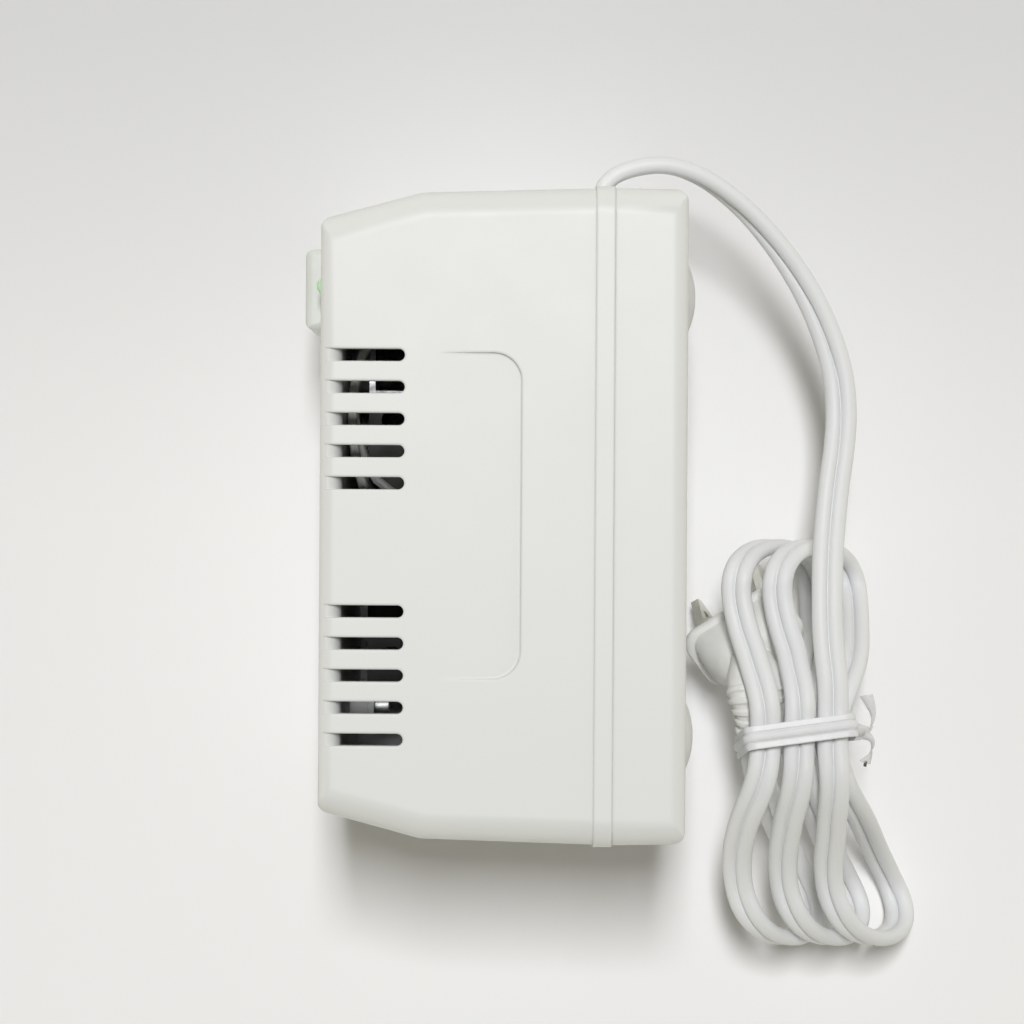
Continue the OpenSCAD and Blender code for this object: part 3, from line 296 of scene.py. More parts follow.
# %% Sweep
def add_sweep(mesh, middle, wide, section, closed=False):
    """Sweep a section along a line into a bmesh, with its place along and round as texture coordinates."""
    count, sides = len(middle), len(section)
    uv = mesh.loops.layers.uv.verify()
    rings, reach = [], [0.0]
    for i, place in enumerate(middle):
        ahead = (middle[(i + 1) % count] - middle[i - 1]).normalized() if closed else along(middle, i)
        across = (wide[i] - wide[i].dot(ahead) * ahead).normalized()
        up = ahead.cross(across)
        rings.append([mesh.verts.new((place + q[0] * across + q[1] * up) * MM) for q in section])
        reach.append(reach[-1] + (middle[(i + 1) % count] - place).length * MM)
    for i in range(count if closed else count - 1):
        for j in range(sides):
            k, n = (j + 1) % sides, (i + 1) % count
            face = mesh.faces.new((rings[i][j], rings[i][k], rings[n][k], rings[n][j]))
            face.smooth = True
            for loop, (u, v) in zip(face.loops, ((i, j), (i, j + 1), (i + 1, j + 1), (i + 1, j))):
                loop[uv].uv = (reach[u], v / sides * CORD_WIDTH * 2 * MM)
    if not closed:
        mesh.faces.new(reversed(rings[0]))
        mesh.faces.new(rings[-1])


def as_piece(name, mesh, finish):
    """Plain object of a bmesh, which rides on the only body and wears the given finish."""
    data = bpy.data.meshes.new(name)
    bmesh.ops.recalc_face_normals(mesh, faces=mesh.faces)
    mesh.to_mesh(data)
    mesh.free()
    piece = bpy.data.objects.new(name, data)
    bpy.context.scene.collection.objects.link(piece)
    dress(piece, finish)
    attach(piece, "root")
    print(name, "faces:", len(data.polygons))
    return piece


# %% Cord
CORE_WIDTH, GROOVE_DEPTH, GROOVE_HALF = 3, 0.4, 0.13


def twin_section(width, thick, core):
    """Two oval cores of a given width, whose skins meet in a narrow groove."""
    centre = (width - core) / 2
    meet = math.acos(-2 * centre / core)
    right = [(centre + core / 2 * math.cos(a), thick / 2 * math.sin(a)) for a in
             [meet * (k / 8 - 1) for k in range(17)]]
    left = [(-x, -y) for x, y in right]
    groove = thick / 2 * math.sin(meet) - GROOVE_DEPTH
    right[0], right[-1] = (GROOVE_HALF, right[0][1]), (GROOVE_HALF, right[-1][1])
    left[0], left[-1] = (-GROOVE_HALF, left[0][1]), (-GROOVE_HALF, left[-1][1])
    return right + [(0, groove)] + left + [(0, -groove)]


cord_vinyl = make_finish("cord_vinyl", (0.755, 0.767, 0.785), 0.025, 9, (0.46, 0.58), 0.9, 0.03,
                         stretch=(0.25, 1, 1), coordinates="UV")
cord_mesh = bmesh.new()
add_sweep(cord_mesh, cord_middle, cord_wide, twin_section(CORD_WIDTH, CORD_THICK, CORE_WIDTH))
cord = as_piece("twin_cord", cord_mesh, cord_vinyl)
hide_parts("mains_cord", "cord_hank")

# %% [markdown]
# ## The plug's body
#
# The plug is moulded in one piece with the cord's end. It has a rim that fingers pull on, broad soft
# bevels, and a body that narrows towards the neck. A box with a bevel would keep flat sides, so the body is
# a loft: rounded rectangles of changing size, one behind another along the plug's own axis.

# %% Body of the plug
PLUG_RINGS = [
    (0, 18.6, 11.4, 2.9), (-0.3, 19.6, 12.4, 3.3), (-0.75, 20, 12.8, 3.4), (-1.5, 20, 12.8, 3.4),
    (-1.9, 19.6, 12.4, 3.3), (-2.1, 18.6, 11.8, 3.2), (-2.2, 17.3, 11.1, 3.2), (-2.5, 17.2, 11, 3.3),
    (-4, 17, 10.9, 3.6), (-5.5, 16.4, 10.6, 3.9), (-7, 15.4, 10.1, 4.2), (-8.3, 14, 9.4, 4.2),
    (-9.4, 12.3, 8.5, 4), (-10.1, 10.6, 7.6, 3.6), (-10.5, 8.6, 6.4, 3)]
PLUG_SHARP = math.radians(40)


def rounded_ring(width, height, r, steps=8):
    ring = []
    for corner, (sx, sy) in enumerate(((1, 1), (-1, 1), (-1, -1), (1, -1))):
        for k in range(steps + 1):
            a = math.radians(90 * (corner + k / steps))
            ring.append((sx * (width / 2 - r) + r * math.cos(a), sy * (height / 2 - r) + r * math.sin(a)))
    return ring


plug_vinyl = make_finish("plug_vinyl", (0.74, 0.742, 0.73), 0.03, 6, (0.4, 0.52), 0.6, 0.04)
plug_mesh = bmesh.new()
rings = [[plug_mesh.verts.new((PLUG_AT + x * plug_wide - y * plug_up + z * plug_fore) * MM)
          for x, y in rounded_ring(w, h, r)] for z, w, h, r in PLUG_RINGS]
for near, far in zip(rings, rings[1:]):
    for k in range(len(near)):
        n = (k + 1) % len(near)
        plug_mesh.faces.new((near[k], near[n], far[n], far[k])).smooth = True
plug_mesh.faces.new(rings[0])
plug_mesh.faces.new(rings[-1])
plug = as_piece("plug_moulding", plug_mesh, plug_vinyl)
plug.data.set_sharp_from_angle(angle=PLUG_SHARP)
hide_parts("plug_body")

# %% [markdown]
# ## Node trees
#
# Some forms repeat along a path or in a row: the ribs on the plug's neck and the ramps in the vent slots.
# Geometry Nodes suit them, because one rule with a few named inputs makes them all. Three short helpers start
# a tree, add a node to it and end it with real geometry that has its finish. A fourth one runs a tree on a
# line of points and keeps the result as a plain mesh.

# %% Helpers for node trees
def new_tree(name, inputs):
    """Tree that takes a line and named numbers, and the sockets of these inputs."""
    tree = bpy.data.node_groups.new(name, "GeometryNodeTree")
    tree.interface.new_socket("Line", in_out="INPUT", socket_type="NodeSocketGeometry")
    for key in inputs:
        tree.interface.new_socket(key, in_out="INPUT", socket_type="NodeSocketFloat")
    tree.interface.new_socket("Result", in_out="OUTPUT", socket_type="NodeSocketGeometry")
    return tree, tree.nodes.new("NodeGroupInput").outputs


def add_node(tree, kind, links, **settings):
    """Node with its settings, and with a link or a value for each socket that is named."""
    made = tree.nodes.new(kind)
    for key, value in settings.items():
        setattr(made, key, value)
    for socket, source in links.items():
        if isinstance(source, bpy.types.NodeSocket):
            tree.links.new(source, made.inputs[socket])
        else:
            made.inputs[socket].default_value = source
    return made


def end_tree(tree, geometry, finish):
    whole = add_node(tree, "GeometryNodeRealizeInstances", {"Geometry": geometry})
    dressed = add_node(tree, "GeometryNodeSetMaterial", {"Geometry": whole.outputs[0], "Material": finish})
    tree.links.new(dressed.outputs[0], tree.nodes.new("NodeGroupOutput").inputs[0])


print("helpers:", new_tree.__name__, add_node.__name__, end_tree.__name__)


# %% Helper for pieces from a tree
def grown(name, points, tree, inputs, slot):
    """Plain mesh piece that a tree grows on a line of points in millimetres."""
    line = bpy.data.meshes.new(name + "_line")
    line.from_pydata([p * MM for p in points], [(i, i + 1) for i in range(len(points) - 1)], [])
    carrier = bpy.data.objects.new(name + "_line", line)
    bpy.context.scene.collection.objects.link(carrier)
    modifier = carrier.modifiers.new(name, "NODES")
    modifier.node_group = tree
    for item in tree.interface.items_tree:
        if item.in_out == "INPUT" and item.name in inputs:
            modifier[item.identifier] = inputs[item.name]
    evaluated = carrier.evaluated_get(bpy.context.evaluated_depsgraph_get())
    mesh = bpy.data.meshes.new_from_object(evaluated)
    mesh.name = name
    bpy.data.objects.remove(carrier)
    piece = bpy.data.objects.new(name, mesh)
    bpy.context.scene.collection.objects.link(piece)
    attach(piece, "root")
    print(name, "faces:", len(mesh.polygons))
    return piece


print("helper:", grown.__name__)

# %% [markdown]
# ## The plug's ribbed neck
#
# Behind the body the neck starts as a round shoulder and bends back towards the hank. Its ribs let it flex
# without kinking the cord. The neck's line becomes a curve, a flat rounded profile runs along it, and its
# scale rises to the shoulder and falls to the cord, with a wave on it that makes the ribs.

# %% Tree of the ribbed neck
NECK_INPUTS = {"Neck width": 6.4 * MM, "Neck thickness": 4.2 * MM, "Shoulder": 1.55, "Rib count": 8.4,
               "Rib height": 0.15}
NECK_RINGS, EDGE_SHARE, NECK_START = 150, 0.48, 1.2
# Part of the wave that a rib takes up, and stretches of the neck where the ribs rise and the shoulder falls
RIB_LOW, RIB_HIGH = -0.35, 0.45
SHOULDER_AT, RIBS_FULL, FALL_FROM, FALL_TO = 0.4, 0.55, 0.45, 0.95


def ribbed_neck_tree(finish):
    tree, given = new_tree("ribbed_neck", NECK_INPUTS)
    line = add_node(tree, "GeometryNodeMeshToCurve", {"Mesh": given["Line"]})
    even = add_node(tree, "GeometryNodeResampleCurve", {"Curve": line.outputs[0], "Count": NECK_RINGS},
                    mode="COUNT")
    level = add_node(tree, "GeometryNodeSetCurveNormal", {"Curve": even.outputs[0], "Normal": neck_wide},
                     mode="FREE")
    place = tree.nodes.new("GeometryNodeSplineParameter").outputs["Factor"]
    turns = add_node(tree, "ShaderNodeMath", {0: place, 1: given["Rib count"]}, operation="MULTIPLY")
    angle = add_node(tree, "ShaderNodeMath", {0: turns.outputs[0], 1: 2 * math.pi}, operation="MULTIPLY")
    wave = add_node(tree, "ShaderNodeMath", {0: angle.outputs[0]}, operation="SINE")
    rib = add_node(tree, "ShaderNodeMapRange", {0: wave.outputs[0], 1: RIB_LOW, 2: RIB_HIGH},
                   interpolation_type="SMOOTHSTEP")
    height = add_node(tree, "ShaderNodeMapRange",
                      {0: place, 1: SHOULDER_AT, 2: RIBS_FULL, 3: 0, 4: given["Rib height"]})
    start = add_node(tree, "ShaderNodeMapRange",
                     {0: place, 1: 0, 2: SHOULDER_AT, 3: NECK_START, 4: given["Shoulder"]},
                     interpolation_type="SMOOTHSTEP")
    share = add_node(tree, "ShaderNodeMath", {0: 1, 1: given["Shoulder"]}, operation="DIVIDE")
    end = add_node(tree, "ShaderNodeMapRange",
                   {0: place, 1: FALL_FROM, 2: FALL_TO, 3: 1, 4: share.outputs[0]},
                   interpolation_type="SMOOTHSTEP")
    taper = add_node(tree, "ShaderNodeMath", {0: start.outputs[0], 1: end.outputs[0]}, operation="MULTIPLY")
    swell = add_node(tree, "ShaderNodeMath", {0: rib.outputs[0], 1: height.outputs[0], 2: taper.outputs[0]},
                     operation="MULTIPLY_ADD")
    flat = add_node(tree, "GeometryNodeCurvePrimitiveQuadrilateral",
                    {"Width": given["Neck width"], "Height": given["Neck thickness"]})
    edge = add_node(tree, "ShaderNodeMath", {0: given["Neck thickness"], 1: EDGE_SHARE}, operation="MULTIPLY")
    profile = add_node(tree, "GeometryNodeFilletCurve",
                       {"Curve": flat.outputs[0], "Count": 8, "Radius": edge.outputs[0]}, mode="POLY")
    skin = add_node(tree, "GeometryNodeCurveToMesh",
                    {"Curve": level.outputs[0], "Profile Curve": profile.outputs[0], "Scale": swell.outputs[0],
                     "Fill Caps": True})
    smooth = add_node(tree, "GeometryNodeSetShadeSmooth", {"Geometry": skin.outputs[0]})
    end_tree(tree, smooth.outputs[0], finish)
    return tree


neck_tree = ribbed_neck_tree(plug_vinyl)
print("nodes in the neck's tree:", len(neck_tree.nodes))

# %% Ribbed neck
NECK_STEPS, NECK_LAP = 40, 0.03

neck_line = [neck_point(NECK_BEND * (k / NECK_STEPS - NECK_LAP)) for k in range(NECK_STEPS + 2)]
neck = grown("plug_neck", neck_line, neck_tree, NECK_INPUTS, "plug")

# %% [markdown]
# ## The twist tie
#
# A twist tie holds the hank at its waist. It is a white ribbon with a wire in its middle, so it has a ridge
# with a groove on each side. The ribbon is swept along a closed loop of straight runs with rounded corners. Its
# ends are twisted together at the right, where the clear film spreads and the wire shows as a dark point.

# %% Loop of the tie
TIE_MIDDLE = Vector((51.8, -38, 32.6))
TIE_TURN = Matrix.Rotation(math.radians(8), 3, "Z") @ Matrix.Rotation(math.radians(-10), 3, "X")
TIE_LOOP = [(-10, -8.3, 2.4), (0.6, -8.3, 3), (10.2, 0.4, 1.6), (10.2, 7.9, 1.8), (-8.8, 7.9, 1.9)]
TIE_SECTION = [
    (-2, -0.22), (2, -0.22), (2, 0.06), (1.85, 0.18), (1.05, 0.2), (0.86, 0.04), (0.7, 0.18), (0.4, 0.46),
    (0, 0.56), (-0.4, 0.46), (-0.7, 0.18), (-0.86, 0.04), (-1.05, 0.2), (-1.85, 0.18), (-2, 0.06)]
TIE_RUN, TIE_SHARP = 6, math.radians(18)


def rounded_loop(corners, steps=8):
    """Closed outline of straight runs with an arc at each corner, anticlockwise."""
    line = []
    for i, (x, z, r) in enumerate(corners):
        here = Vector((x, z))
        back = (Vector(corners[i - 1][:2]) - here).normalized()
        on = (Vector(corners[(i + 1) % len(corners)][:2]) - here).normalized()
        middle = here + (back + on).normalized() * r / math.sin(back.angle(on) / 2)
        start = (here + back * (back.dot(middle - here))) - middle
        sweep = math.pi - back.angle(on)
        for k in range(steps + 1):
            a = sweep * k / steps
            line.append(middle + Vector((start.x * math.cos(a) - start.y * math.sin(a),
                                         start.x * math.sin(a) + start.y * math.cos(a))))
    return line


def refined(line, longest):
    """Closed line with extra points, so that no run is longer than the given length."""
    fine = []
    for i, p in enumerate(line):
        q = line[(i + 1) % len(line)]
        parts = max(1, math.ceil((q - p).length / longest))
        fine += [p.lerp(q, k / parts) for k in range(parts)]
    return fine


tie_outline = refined(rounded_loop(TIE_LOOP), TIE_RUN)
tie_line = [TIE_MIDDLE + TIE_TURN @ Vector((p.x, 0, p.y)) for p in tie_outline]
print("points of the tie:", len(tie_line))

# %% Twist tie
tie_film = make_finish("tie_film", (0.74, 0.745, 0.775), 0.02, 3, (0.4, 0.5), 0.6, 0.004)
tie_mesh = bmesh.new()
tie_across = TIE_TURN @ Vector((0, -1, 0))
add_sweep(tie_mesh, tie_line, [tie_across] * len(tie_line), TIE_SECTION, closed=True)
tie = as_piece("twist_tie", tie_mesh, tie_film)
tie.data.set_sharp_from_angle(angle=TIE_SHARP)
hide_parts("cord_tie")

# %% Ends of the tie
TIE_ENDS = [
    [(61.6, -36.4, 34), (63.6, -36.9, 33.2), (65, -36.2, 33), (65.1, -33.6, 33.8), (64, -30.6, 34.6)],
    [(61.6, -37.4, 32.6), (63.8, -37.6, 32.4), (65.2, -38.9, 31.9), (65.1, -40.8, 31.1), (64.3, -42.6, 30.6)]]
END_SECTION = [(-1.25, -0.06), (1.25, -0.06), (1.25, 0.05), (0.3, 0.07), (0, 0.2), (-0.3, 0.07), (-1.25, 0.05)]
END_TWIST, END_STEPS = math.radians(150), 14

clear_film = make_finish("clear_film", (0.86, 0.865, 0.87), 0.01, 2, (0.14, 0.24), 0.6, 0.004)
shader_of(clear_film).inputs["Alpha"].default_value = 0.5
ends_mesh = bmesh.new()
for corners in TIE_ENDS:
    line = through([Vector(p) for p in corners], END_STEPS)
    wide = []
    for i in range(len(line)):
        ahead = along(line, i)
        flat = ahead.cross(Vector((0, 0, 1))).normalized()
        a = END_TWIST * i / len(line)
        wide.append(math.cos(a) * flat + math.sin(a) * ahead.cross(flat))
    add_sweep(ends_mesh, line, wide, END_SECTION)
tie_ends = as_piece("tie_ends", ends_mesh, clear_film)

# %% Wire of the tie
WIRE_RADIUS = 0.28

tie_wire = make_finish("tie_wire", (0.16, 0.15, 0.14), 0.1, 1, (0.4, 0.6), 0.2, 0.01, metal=0.8)
wire_mesh = bmesh.new()
wire_line = [Vector((64.42, -42.3, 30.65)), Vector((64.36, -42.8, 30.5)), Vector((64.3, -43.2, 30.4))]
wire_angles = [math.pi * k / 5 for k in range(10)]
wire_section = [(WIRE_RADIUS * math.cos(a), WIRE_RADIUS * math.sin(a)) for a in wire_angles]
add_sweep(wire_mesh, wire_line, [Vector((1, 0, 0))] * 3, wire_section)
wire = as_piece("tie_wire_end", wire_mesh, tie_wire)

# %% [markdown]
# ## What the cord is
#
# The photograph shows the cord from end to end, so its length is the length of its route.

# %% [markdown]
# ## Case plastic
#
# The case is moulded in off-white plastic with a satin gloss. Its colour drifts by a percent or two, a very
# fine grain breaks up the highlights, and no edge is quite sharp. The CAD mesh is loose triangles, so a copy
# is merged and shaded anew, and the copy stands for the node. Plain smooth shading would draw streaks on the
# flats, round each hole. So a corner beside a large flat takes the normal of that flat, and any other corner
# takes the mean of the round that it lies on. Real bevels on every slot would cost many faces. A Bevel node
# rounds the edges in the shading alone, which is enough for a radius of half a millimetre or so.

# %% Helpers for moulded skins
FLAT_ANGLE, ROUND_ANGLE = math.radians(0.5), math.radians(28)
LARGE_FLAT = 150 * MM * MM
MERGE_LENGTH, SLIVER_LENGTH = 0.002 * MM, 0.001 * MM


def soften_edges(finish, radius):
    tree = finish.node_tree
    bump = next(n for n in tree.nodes if n.type == "BUMP")
    soft = tree.nodes.new("ShaderNodeBevel")
    soft.samples = 6
    soft.inputs["Radius"].default_value = radius * MM
    tree.links.new(soft.outputs["Normal"], bump.inputs["Normal"])


def flat_areas(mesh):
    """Area of the flat region that each face of a bmesh belongs to."""
    areas = {}
    for seed in mesh.faces:
        if seed in areas:
            continue
        region, queue = {seed}, [seed]
        while queue:
            for edge in queue.pop().edges:
                for face in edge.link_faces:
                    if face not in region and face.normal.angle(seed.normal, math.pi) < FLAT_ANGLE:
                        region.add(face)
                        queue.append(face)
        total = sum(face.calc_area() for face in region)
        areas.update((face, total) for face in region)
    return areas


def even_normals(mesh):
    """Normal of each face corner: that of a large flat beside it, or else the mean of the round."""
    areas = flat_areas(mesh)
    normals = []
    for face in mesh.faces:
        for corner in face.loops:
            beside = [f for f in corner.vert.link_faces
                      if f.normal.angle(face.normal, math.pi) < ROUND_ANGLE]
            widest = max(beside + [face], key=areas.get)
            if areas[widest] > LARGE_FLAT:
                normals.append(widest.normal.copy())
            else:
                normals.append(sum((f.normal * f.calc_area() for f in beside), Vector()).normalized())
    return normals


def moulded_skin(name, finish):
    """Merged copy of a CAD node with smooth rounds and even flats, which stands for the node."""
    mesh = bmesh.new()
    mesh.from_mesh(nodes[name].data)
    bmesh.ops.remove_doubles(mesh, verts=mesh.verts, dist=MERGE_LENGTH)
    bmesh.ops.dissolve_degenerate(mesh, edges=mesh.edges, dist=SLIVER_LENGTH)
    mesh.normal_update()
    normals = even_normals(mesh)
    data = bpy.data.meshes.new(name + "_skin")
    mesh.to_mesh(data)
    mesh.free()
    data.shade_smooth()
    data.normals_split_custom_set(normals)
    piece = bpy.data.objects.new(name + "_skin", data)
    bpy.context.scene.collection.objects.link(piece)
    dress(piece, finish)
    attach(piece, "root")
    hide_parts(name)
    print(piece.name, "faces:", len(data.polygons))


# %% Case
CASE_LOOK = ((0.74, 0.75, 0.752), 0.008, 40, (0.43, 0.47), 0.45, 0.015)

case_plastic = make_finish("case_plastic", *CASE_LOOK)
soften_edges(case_plastic, radius=0.6)
for name in ("front_housing", "rear_cover"):
    moulded_skin(name, case_plastic)

# %% [markdown]
# ## Ramps in the vent slots
#
# Each slot starts at the front edge with a ramp that leads down into the case, so the front wall stays whole
# there. The CAD leaves the slots open to the front, and the ramps are added here. One block has the ramp and a
# thin plate that carries the front wall's skin across the slot. It is copied to each slot, and the row is
# mirrored to the face below.

# %% Block with a ramp
SLOT_WIDTH, SLOT_PITCH, CASE_HEIGHT = 2, 5.18, 70
SLOT_STEPS = [*range(1, 6), *range(-7, -2)]
FRONT_X, INNER_X, TOP_Z, EDGE_RADIUS = -28.6, -25, 69.7, 2.4
PLATE_LAP, PLATE_RISE, PLATE_SINK, PLATE_FOOT, PLATE_TURN = 0.7, 0.015, 0.2, 9.7, 50
RAMP_DEPTH, RAMP_FOOT, RAMP_TURN, RAMP_LAP = 4, 9, 62, 0.01
EDGE_STEPS = 8


def add_block(mesh, outline, width):
    """Outline in X and Z, as a block of a given width along Y."""
    sides = [[mesh.verts.new(Vector((x, y * width / 2, z)) * MM) for x, z in outline] for y in (-1, 1)]
    mesh.faces.new(sides[0])
    mesh.faces.new(reversed(sides[1]))
    for i in range(len(outline)):
        mesh.faces.new((sides[0][i], sides[0][i - 1], sides[1][i - 1], sides[1][i])).smooth = True


def edge_line(rise, turn, foot):
    """Front face and rounded edge of the case up to a turn in degrees, raised a little."""
    line = [(FRONT_X - rise, TOP_Z - foot)]
    for k in range(EDGE_STEPS + 1):
        a = math.radians(180 - turn * k / EDGE_STEPS)
        line.append((FRONT_X + EDGE_RADIUS + (EDGE_RADIUS + rise) * math.cos(a),
                     TOP_Z - EDGE_RADIUS + (EDGE_RADIUS + rise) * math.sin(a)))
    return line


block_mesh = bmesh.new()
plate_outside = edge_line(PLATE_RISE, PLATE_TURN, PLATE_FOOT)
plate_inside = edge_line(-PLATE_SINK, PLATE_TURN, PLATE_FOOT)
add_block(block_mesh, plate_outside + plate_inside[::-1], SLOT_WIDTH + 2 * PLATE_LAP)
ramp_line = edge_line(0, RAMP_TURN, RAMP_FOOT)
ramp_run, ramp_drop = INNER_X - ramp_line[-1][0], ramp_line[-1][1] - TOP_Z + RAMP_DEPTH
for k in range(1, EDGE_STEPS + 1):
    a = math.radians(90 * k / EDGE_STEPS)
    ramp_line.append((INNER_X - ramp_run * (1 - math.sin(a)), TOP_Z - RAMP_DEPTH + ramp_drop * math.cos(a)))
add_block(block_mesh, ramp_line + [(INNER_X, TOP_Z - RAMP_FOOT)], SLOT_WIDTH + 2 * RAMP_LAP)
bmesh.ops.recalc_face_normals(block_mesh, faces=block_mesh.faces)
block_data = bpy.data.meshes.new("ramp_block")
block_mesh.to_mesh(block_data)
block_mesh.free()
block_data.set_sharp_from_angle(angle=ROUND_ANGLE)
block = bpy.data.objects.new("ramp_block", block_data)
bpy.context.scene.collection.objects.link(block)
print("corners of the block:", len(block_data.vertices))

# %% Ramps
RAMP_INPUTS = {"Case height": CASE_HEIGHT * MM}


def ramp_tree(one_block, finish):
    tree, given = new_tree("slot_ramps", RAMP_INPUTS)
    one = add_node(tree, "GeometryNodeObjectInfo", {"Object": one_block})
    row = add_node(tree, "GeometryNodeInstanceOnPoints",
                   {"Points": given["Line"], "Instance": one.outputs["Geometry"]})
    real = add_node(tree, "GeometryNodeRealizeInstances", {"Geometry": row.outputs[0]})
    lift = add_node(tree, "ShaderNodeCombineXYZ", {"Z": given["Case height"]})
    below = add_node(tree, "GeometryNodeTransform",
                     {"Geometry": real.outputs[0], "Translation": lift.outputs[0], "Scale": (1, 1, -1)})
    both = add_node(tree, "GeometryNodeJoinGeometry", {})
    for source in (real, below):
        tree.links.new(source.outputs[0], both.inputs[0])
    end_tree(tree, both.outputs[0], finish)
    return tree


slot_places = [Vector((0, k * SLOT_PITCH, 0)) for k in SLOT_STEPS]
ramp_plastic = make_finish("ramp_plastic", *CASE_LOOK)
grown("slot_ramps", slot_places, ramp_tree(block, ramp_plastic), RAMP_INPUTS, "case")
bpy.data.objects.remove(block)

# %% [markdown]
# ## Outlet
#
# The outlet is a separate moulding of a greyer plastic, set into the front wall. It gets a finish of its own,
# because two mouldings from two batches never match quite.

# %% Outlet
outlet_plastic = make_finish("outlet_plastic", (0.665, 0.69, 0.67), 0.025, 10, (0.34, 0.44), 0.5, 0.02)
soften_edges(outlet_plastic, radius=0.3)
moulded_skin("outlet_face", outlet_plastic)

# %% [markdown]
# ## Rubber feet
#
# The feet are soft grey rubber with a dull skin that holds dust, so their drift and roughness are larger.

# %% Feet
soft_rubber = make_finish("soft_rubber", (0.69, 0.695, 0.7), 0.05, 4, (0.5, 0.65), 0.4, 0.03)
moulded_skin("rubber_feet", soft_rubber)

# %% [markdown]
# ## Lamp lens
#
# The pilot lamp is off, so its lens is pale, milky green, and a little light goes through it. A clear green
# glass would look almost black here, because the hole behind it is dark. Light that scatters inside the lens
# gives the milky look.

# %% Lamp
lamp_lens = make_finish("lamp_lens", (0.5, 0.74, 0.5), 0.05, 1.5, (0.12, 0.2), 0.5, 0.01)
shader = shader_of(lamp_lens)
shader.inputs["Subsurface Weight"].default_value = 0.6
shader.inputs["Subsurface Radius"].default_value = (0.4, 1, 0.4)
shader.inputs["Subsurface Scale"].default_value = 1.2 * MM
moulded_skin("pilot_lamp", lamp_lens)

# %% [markdown]
# ## Blades
#
# The plug's blades are rolled brass with a nickel plate. Rolling leaves fine lines along the blade, which
# come from noise stretched in one direction.

# %% Blades
nickel = make_finish("nickel", (0.64, 0.645, 0.58), 0.06, 3, (0.24, 0.42), 0.3, 0.01, metal=1.0,
                     stretch=(1, 0.15, 0.15))
dress(nodes["plug_blades"], nickel)
print("finish:", nickel.name)

# %% [markdown]
# ## Screws and bracket
#
# The screws and the bracket round the core are zinc-plated steel. Zinc dulls in patches, so its gloss
# changes more than its colour.

# %% Zinc
zinc = make_finish("zinc", (0.5, 0.51, 0.52), 0.06, 4, (0.28, 0.52), 0.4, 0.01, metal=1.0)
for name in ("cover_screws", "outlet_screws", "bracket_screws", "cord_clamp_screws", "core_bracket"):
    dress(nodes[name], zinc)
print("finish:", zinc.name)

# %% [markdown]
# ## Core
#
# Behind the vents lies the core, a stack of thin varnished steel sheets. Its colour is near-black, darker than
# varnished steel alone, which paints the shade inside the case that the vents look into. Its edges show as
# fine lines, which come from noise that is short across the sheets and long along them.

# %% Core
# Near-black colour: varnished steel darkened further as painted shade inside the case.
core_steel_and_shade = make_finish("core_steel_and_shade", (0.035, 0.034, 0.033), 0.4, 0.6, (0.4, 0.6), 0.5, 0.05,
                         metal=0.3, stretch=(0.02, 0.02, 1))
dress(nodes["core_laminations"], core_steel_and_shade)
print("finish:", core_steel_and_shade.name)

# %% [markdown]
# ## Coil
#
# The coil has a nylon bobbin, two windings of enamelled copper wire and polyester tape. The turns of wire are
# too fine to model, so stretched noise draws them as lines round the coil.

# %% Coil
nylon = make_finish("nylon", (0.66, 0.63, 0.54), 0.06, 6, (0.42, 0.56), 0.6, 0.03)
for name in ("bobbin", "cord_clamp"):
    dress(nodes[name], nylon)
copper_wire = make_finish("copper_wire", (0.45, 0.17, 0.06), 0.2, 0.5, (0.28, 0.42), 0.5, 0.1,
                          metal=0.7, stretch=(1, 0.02, 0.02))
for name in ("primary_winding", "secondary_winding"):
    dress(nodes[name], copper_wire)
coil_tape = make_finish("coil_tape", (0.7, 0.55, 0.12), 0.08, 8, (0.22, 0.36), 1.5, 0.04)
dress(nodes["winding_tape"], coil_tape)
print("finishes:", nylon.name, copper_wire.name, coil_tape.name)

# %% [markdown]
# ## Wires
#
# White and blue leads join the cord, the coil, the outlet and the lamp. Their insulation is soft plastic
# with a dull gloss. The splice caps and the flat cord inside the case are of the same kind.

# %% Wires
white_wire = make_finish("white_wire", (0.8, 0.8, 0.78), 0.04, 3, (0.4, 0.52), 0.5, 0.03)
for name in ("lamp_leads", "primary_leads", "cord_cores", "splice_caps", "cord_inlet"):
    dress(nodes[name], white_wire)
blue_wire = make_finish("blue_wire", (0.06, 0.09, 0.28), 0.1, 3, (0.4, 0.52), 0.5, 0.03)
dress(nodes["secondary_leads"], blue_wire)
print("finishes:", white_wire.name, blue_wire.name)

# %% [markdown]
# ## Small electrical parts
#
# The outlet's contacts are rolled brass. Its back plate and the lamp's board are brown pressed board with
# visible fibres, and the resistor and the thermal fuse are lacquered.

# %% Small parts
brass = make_finish("brass", (0.72, 0.55, 0.24), 0.08, 3, (0.25, 0.45), 0.4, 0.01, metal=1.0)
dress(nodes["outlet_contacts"], brass)
pressed_board = make_finish("pressed_board", (0.3, 0.18, 0.1), 0.2, 1, (0.6, 0.8), 0.4, 0.05)
for name in ("outlet_back", "lamp_board"):
    dress(nodes[name], pressed_board)
lacquer = make_finish("lacquer", (0.66, 0.58, 0.42), 0.08, 2, (0.32, 0.46), 0.5, 0.03)
for name in ("lamp_resistor", "thermal_fuse"):
    dress(nodes[name], lacquer)
print("finishes:", brass.name, pressed_board.name, lacquer.name)

# %% [markdown]
# ## Floor
#
# The ground is pale and even, and its colour is painted a little darker towards the top of the picture:
# painted falloff of the light. A ramp along the floor gives that, and no light is added for it.

# %% Floor
FLOOR_REACH, FALLOFF_REACH = 1.6, 0.09
# Painted falloff of the light: the floor's colour darkens towards +Y, the top of the picture.
FLOOR_FALLOFF_TONES = [(0, (0.925, 0.925, 0.95)), (0.5, (0.88, 0.88, 0.9)), (0.62, (0.85, 0.85, 0.87)),
               (1, (0.715, 0.72, 0.745))]

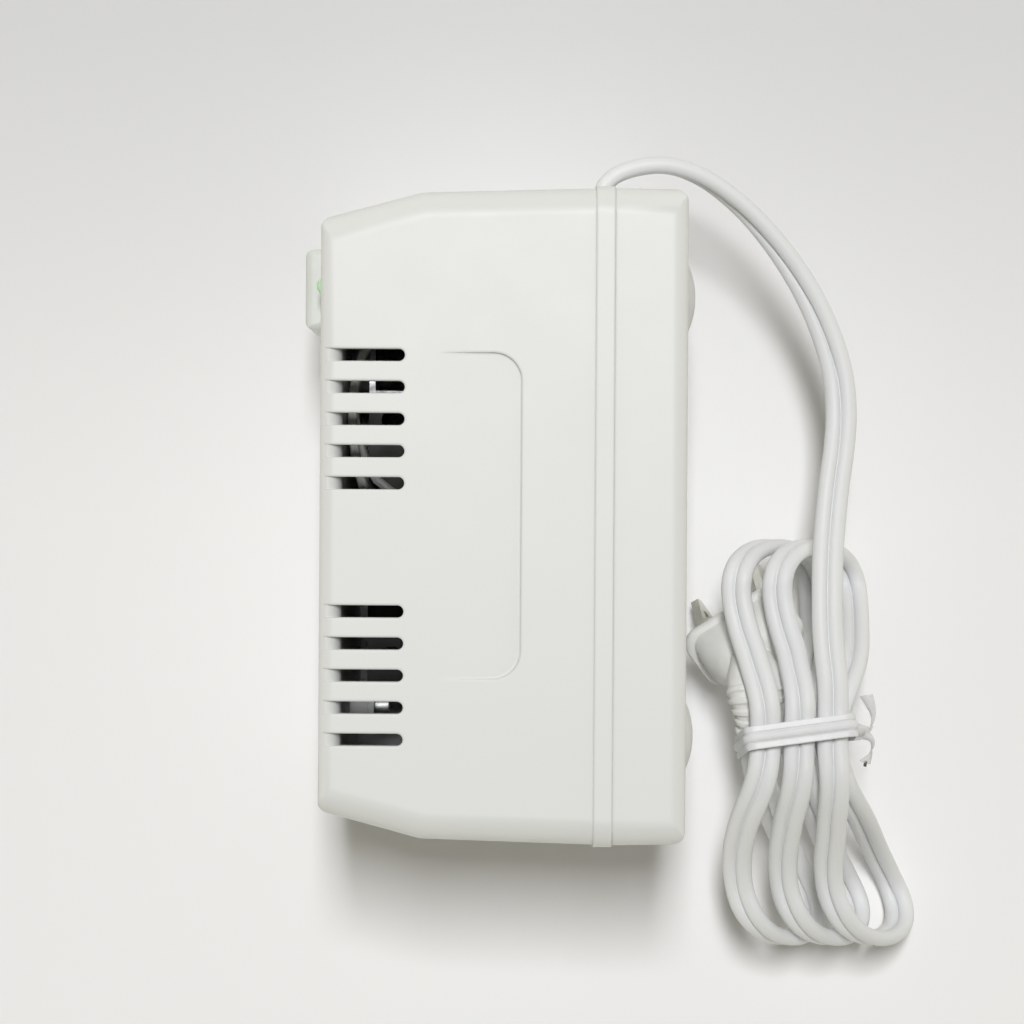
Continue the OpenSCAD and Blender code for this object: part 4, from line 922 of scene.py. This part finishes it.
floor_mesh = bpy.data.meshes.new("floor")
corners = [(sx * FLOOR_REACH, sy * FLOOR_REACH, 0) for sx, sy in ((-1, -1), (1, -1), (1, 1), (-1, 1))]
floor_mesh.from_pydata(corners, [], [(0, 1, 2, 3)])
floor = bpy.data.objects.new("floor", floor_mesh)
bpy.context.scene.collection.objects.link(floor)
paper = bpy.data.materials.new("paper")
paper.use_nodes = True
tree = paper.node_tree
shader_of(paper).inputs["Roughness"].default_value = 0.9
place = tree.nodes.new("ShaderNodeTexCoord")
apart = tree.nodes.new("ShaderNodeSeparateXYZ")
height = tree.nodes.new("ShaderNodeMapRange")
height.inputs["From Min"].default_value = -FALLOFF_REACH
height.inputs["From Max"].default_value = FALLOFF_REACH
tones = tree.nodes.new("ShaderNodeValToRGB")
for at, _ in FLOOR_FALLOFF_TONES[1:-1]:
    tones.color_ramp.elements.new(at)
for element, (at, colour) in zip(tones.color_ramp.elements, FLOOR_FALLOFF_TONES):
    element.position = at
    element.color = (*colour, 1)
tree.links.new(place.outputs["Object"], apart.inputs["Vector"])
tree.links.new(apart.outputs["Y"], height.inputs["Value"])
tree.links.new(height.outputs["Result"], tones.inputs["Fac"])
tree.links.new(tones.outputs["Color"], shader_of(paper).inputs["Base Color"])
dress(floor, paper)
print("floor, m:", 2 * FLOOR_REACH)

# %% [markdown]
# ## Light
#
# The photograph is lit by one soft lamp almost overhead, a little towards the top of the picture: the case
# casts a dark soft shadow below its lower end and almost none at its sides. So the lamp is narrow from side to
# side and deeper the other way. The room's pale walls fill the shadow: the world is bright near the horizon and
# dim overhead, so that it reaches rounded edges more than the floor. The levels are set so that a colour
# renders about as it is written.

# %% Light
LAMP_AT, LAMP_AIM = Vector((0, 0.536, 2)), Vector((0, 0, 0.03))
LAMP_SIZE = (0.25, 0.58)
LAMP_POWER = 29.5
WALL_LIGHT, CEILING_LIGHT = 1, 0.12
WALL_TOP, CEILING_FROM = 0.1, 0.6
ROOM_COLOUR = (1, 0.96, 0.77, 1)

world = bpy.data.worlds.new("studio")
bpy.context.scene.world = world
world.use_nodes = True
tree = world.node_tree
place = tree.nodes.new("ShaderNodeTexCoord")
apart = tree.nodes.new("ShaderNodeSeparateXYZ")
level = tree.nodes.new("ShaderNodeMapRange")
level.inputs["From Min"].default_value = WALL_TOP
level.inputs["From Max"].default_value = CEILING_FROM
level.inputs["To Min"].default_value = WALL_LIGHT
level.inputs["To Max"].default_value = CEILING_LIGHT
tree.links.new(place.outputs["Generated"], apart.inputs["Vector"])
tree.links.new(apart.outputs["Z"], level.inputs["Value"])
tree.links.new(level.outputs["Result"], tree.nodes["Background"].inputs["Strength"])
tree.nodes["Background"].inputs["Color"].default_value = ROOM_COLOUR
lamp_data = bpy.data.lights.new("overhead", "AREA")
lamp_data.shape = "RECTANGLE"
lamp_data.size, lamp_data.size_y = LAMP_SIZE
lamp_data.energy = LAMP_POWER
overhead = bpy.data.objects.new("overhead", lamp_data)
overhead.location = LAMP_AT
overhead.rotation_euler = (LAMP_AIM - LAMP_AT).to_track_quat("-Z", "Y").to_euler()
bpy.context.scene.collection.objects.link(overhead)
bpy.context.scene.view_settings.view_transform = "Standard"
print("lamps:", len(bpy.data.lights))
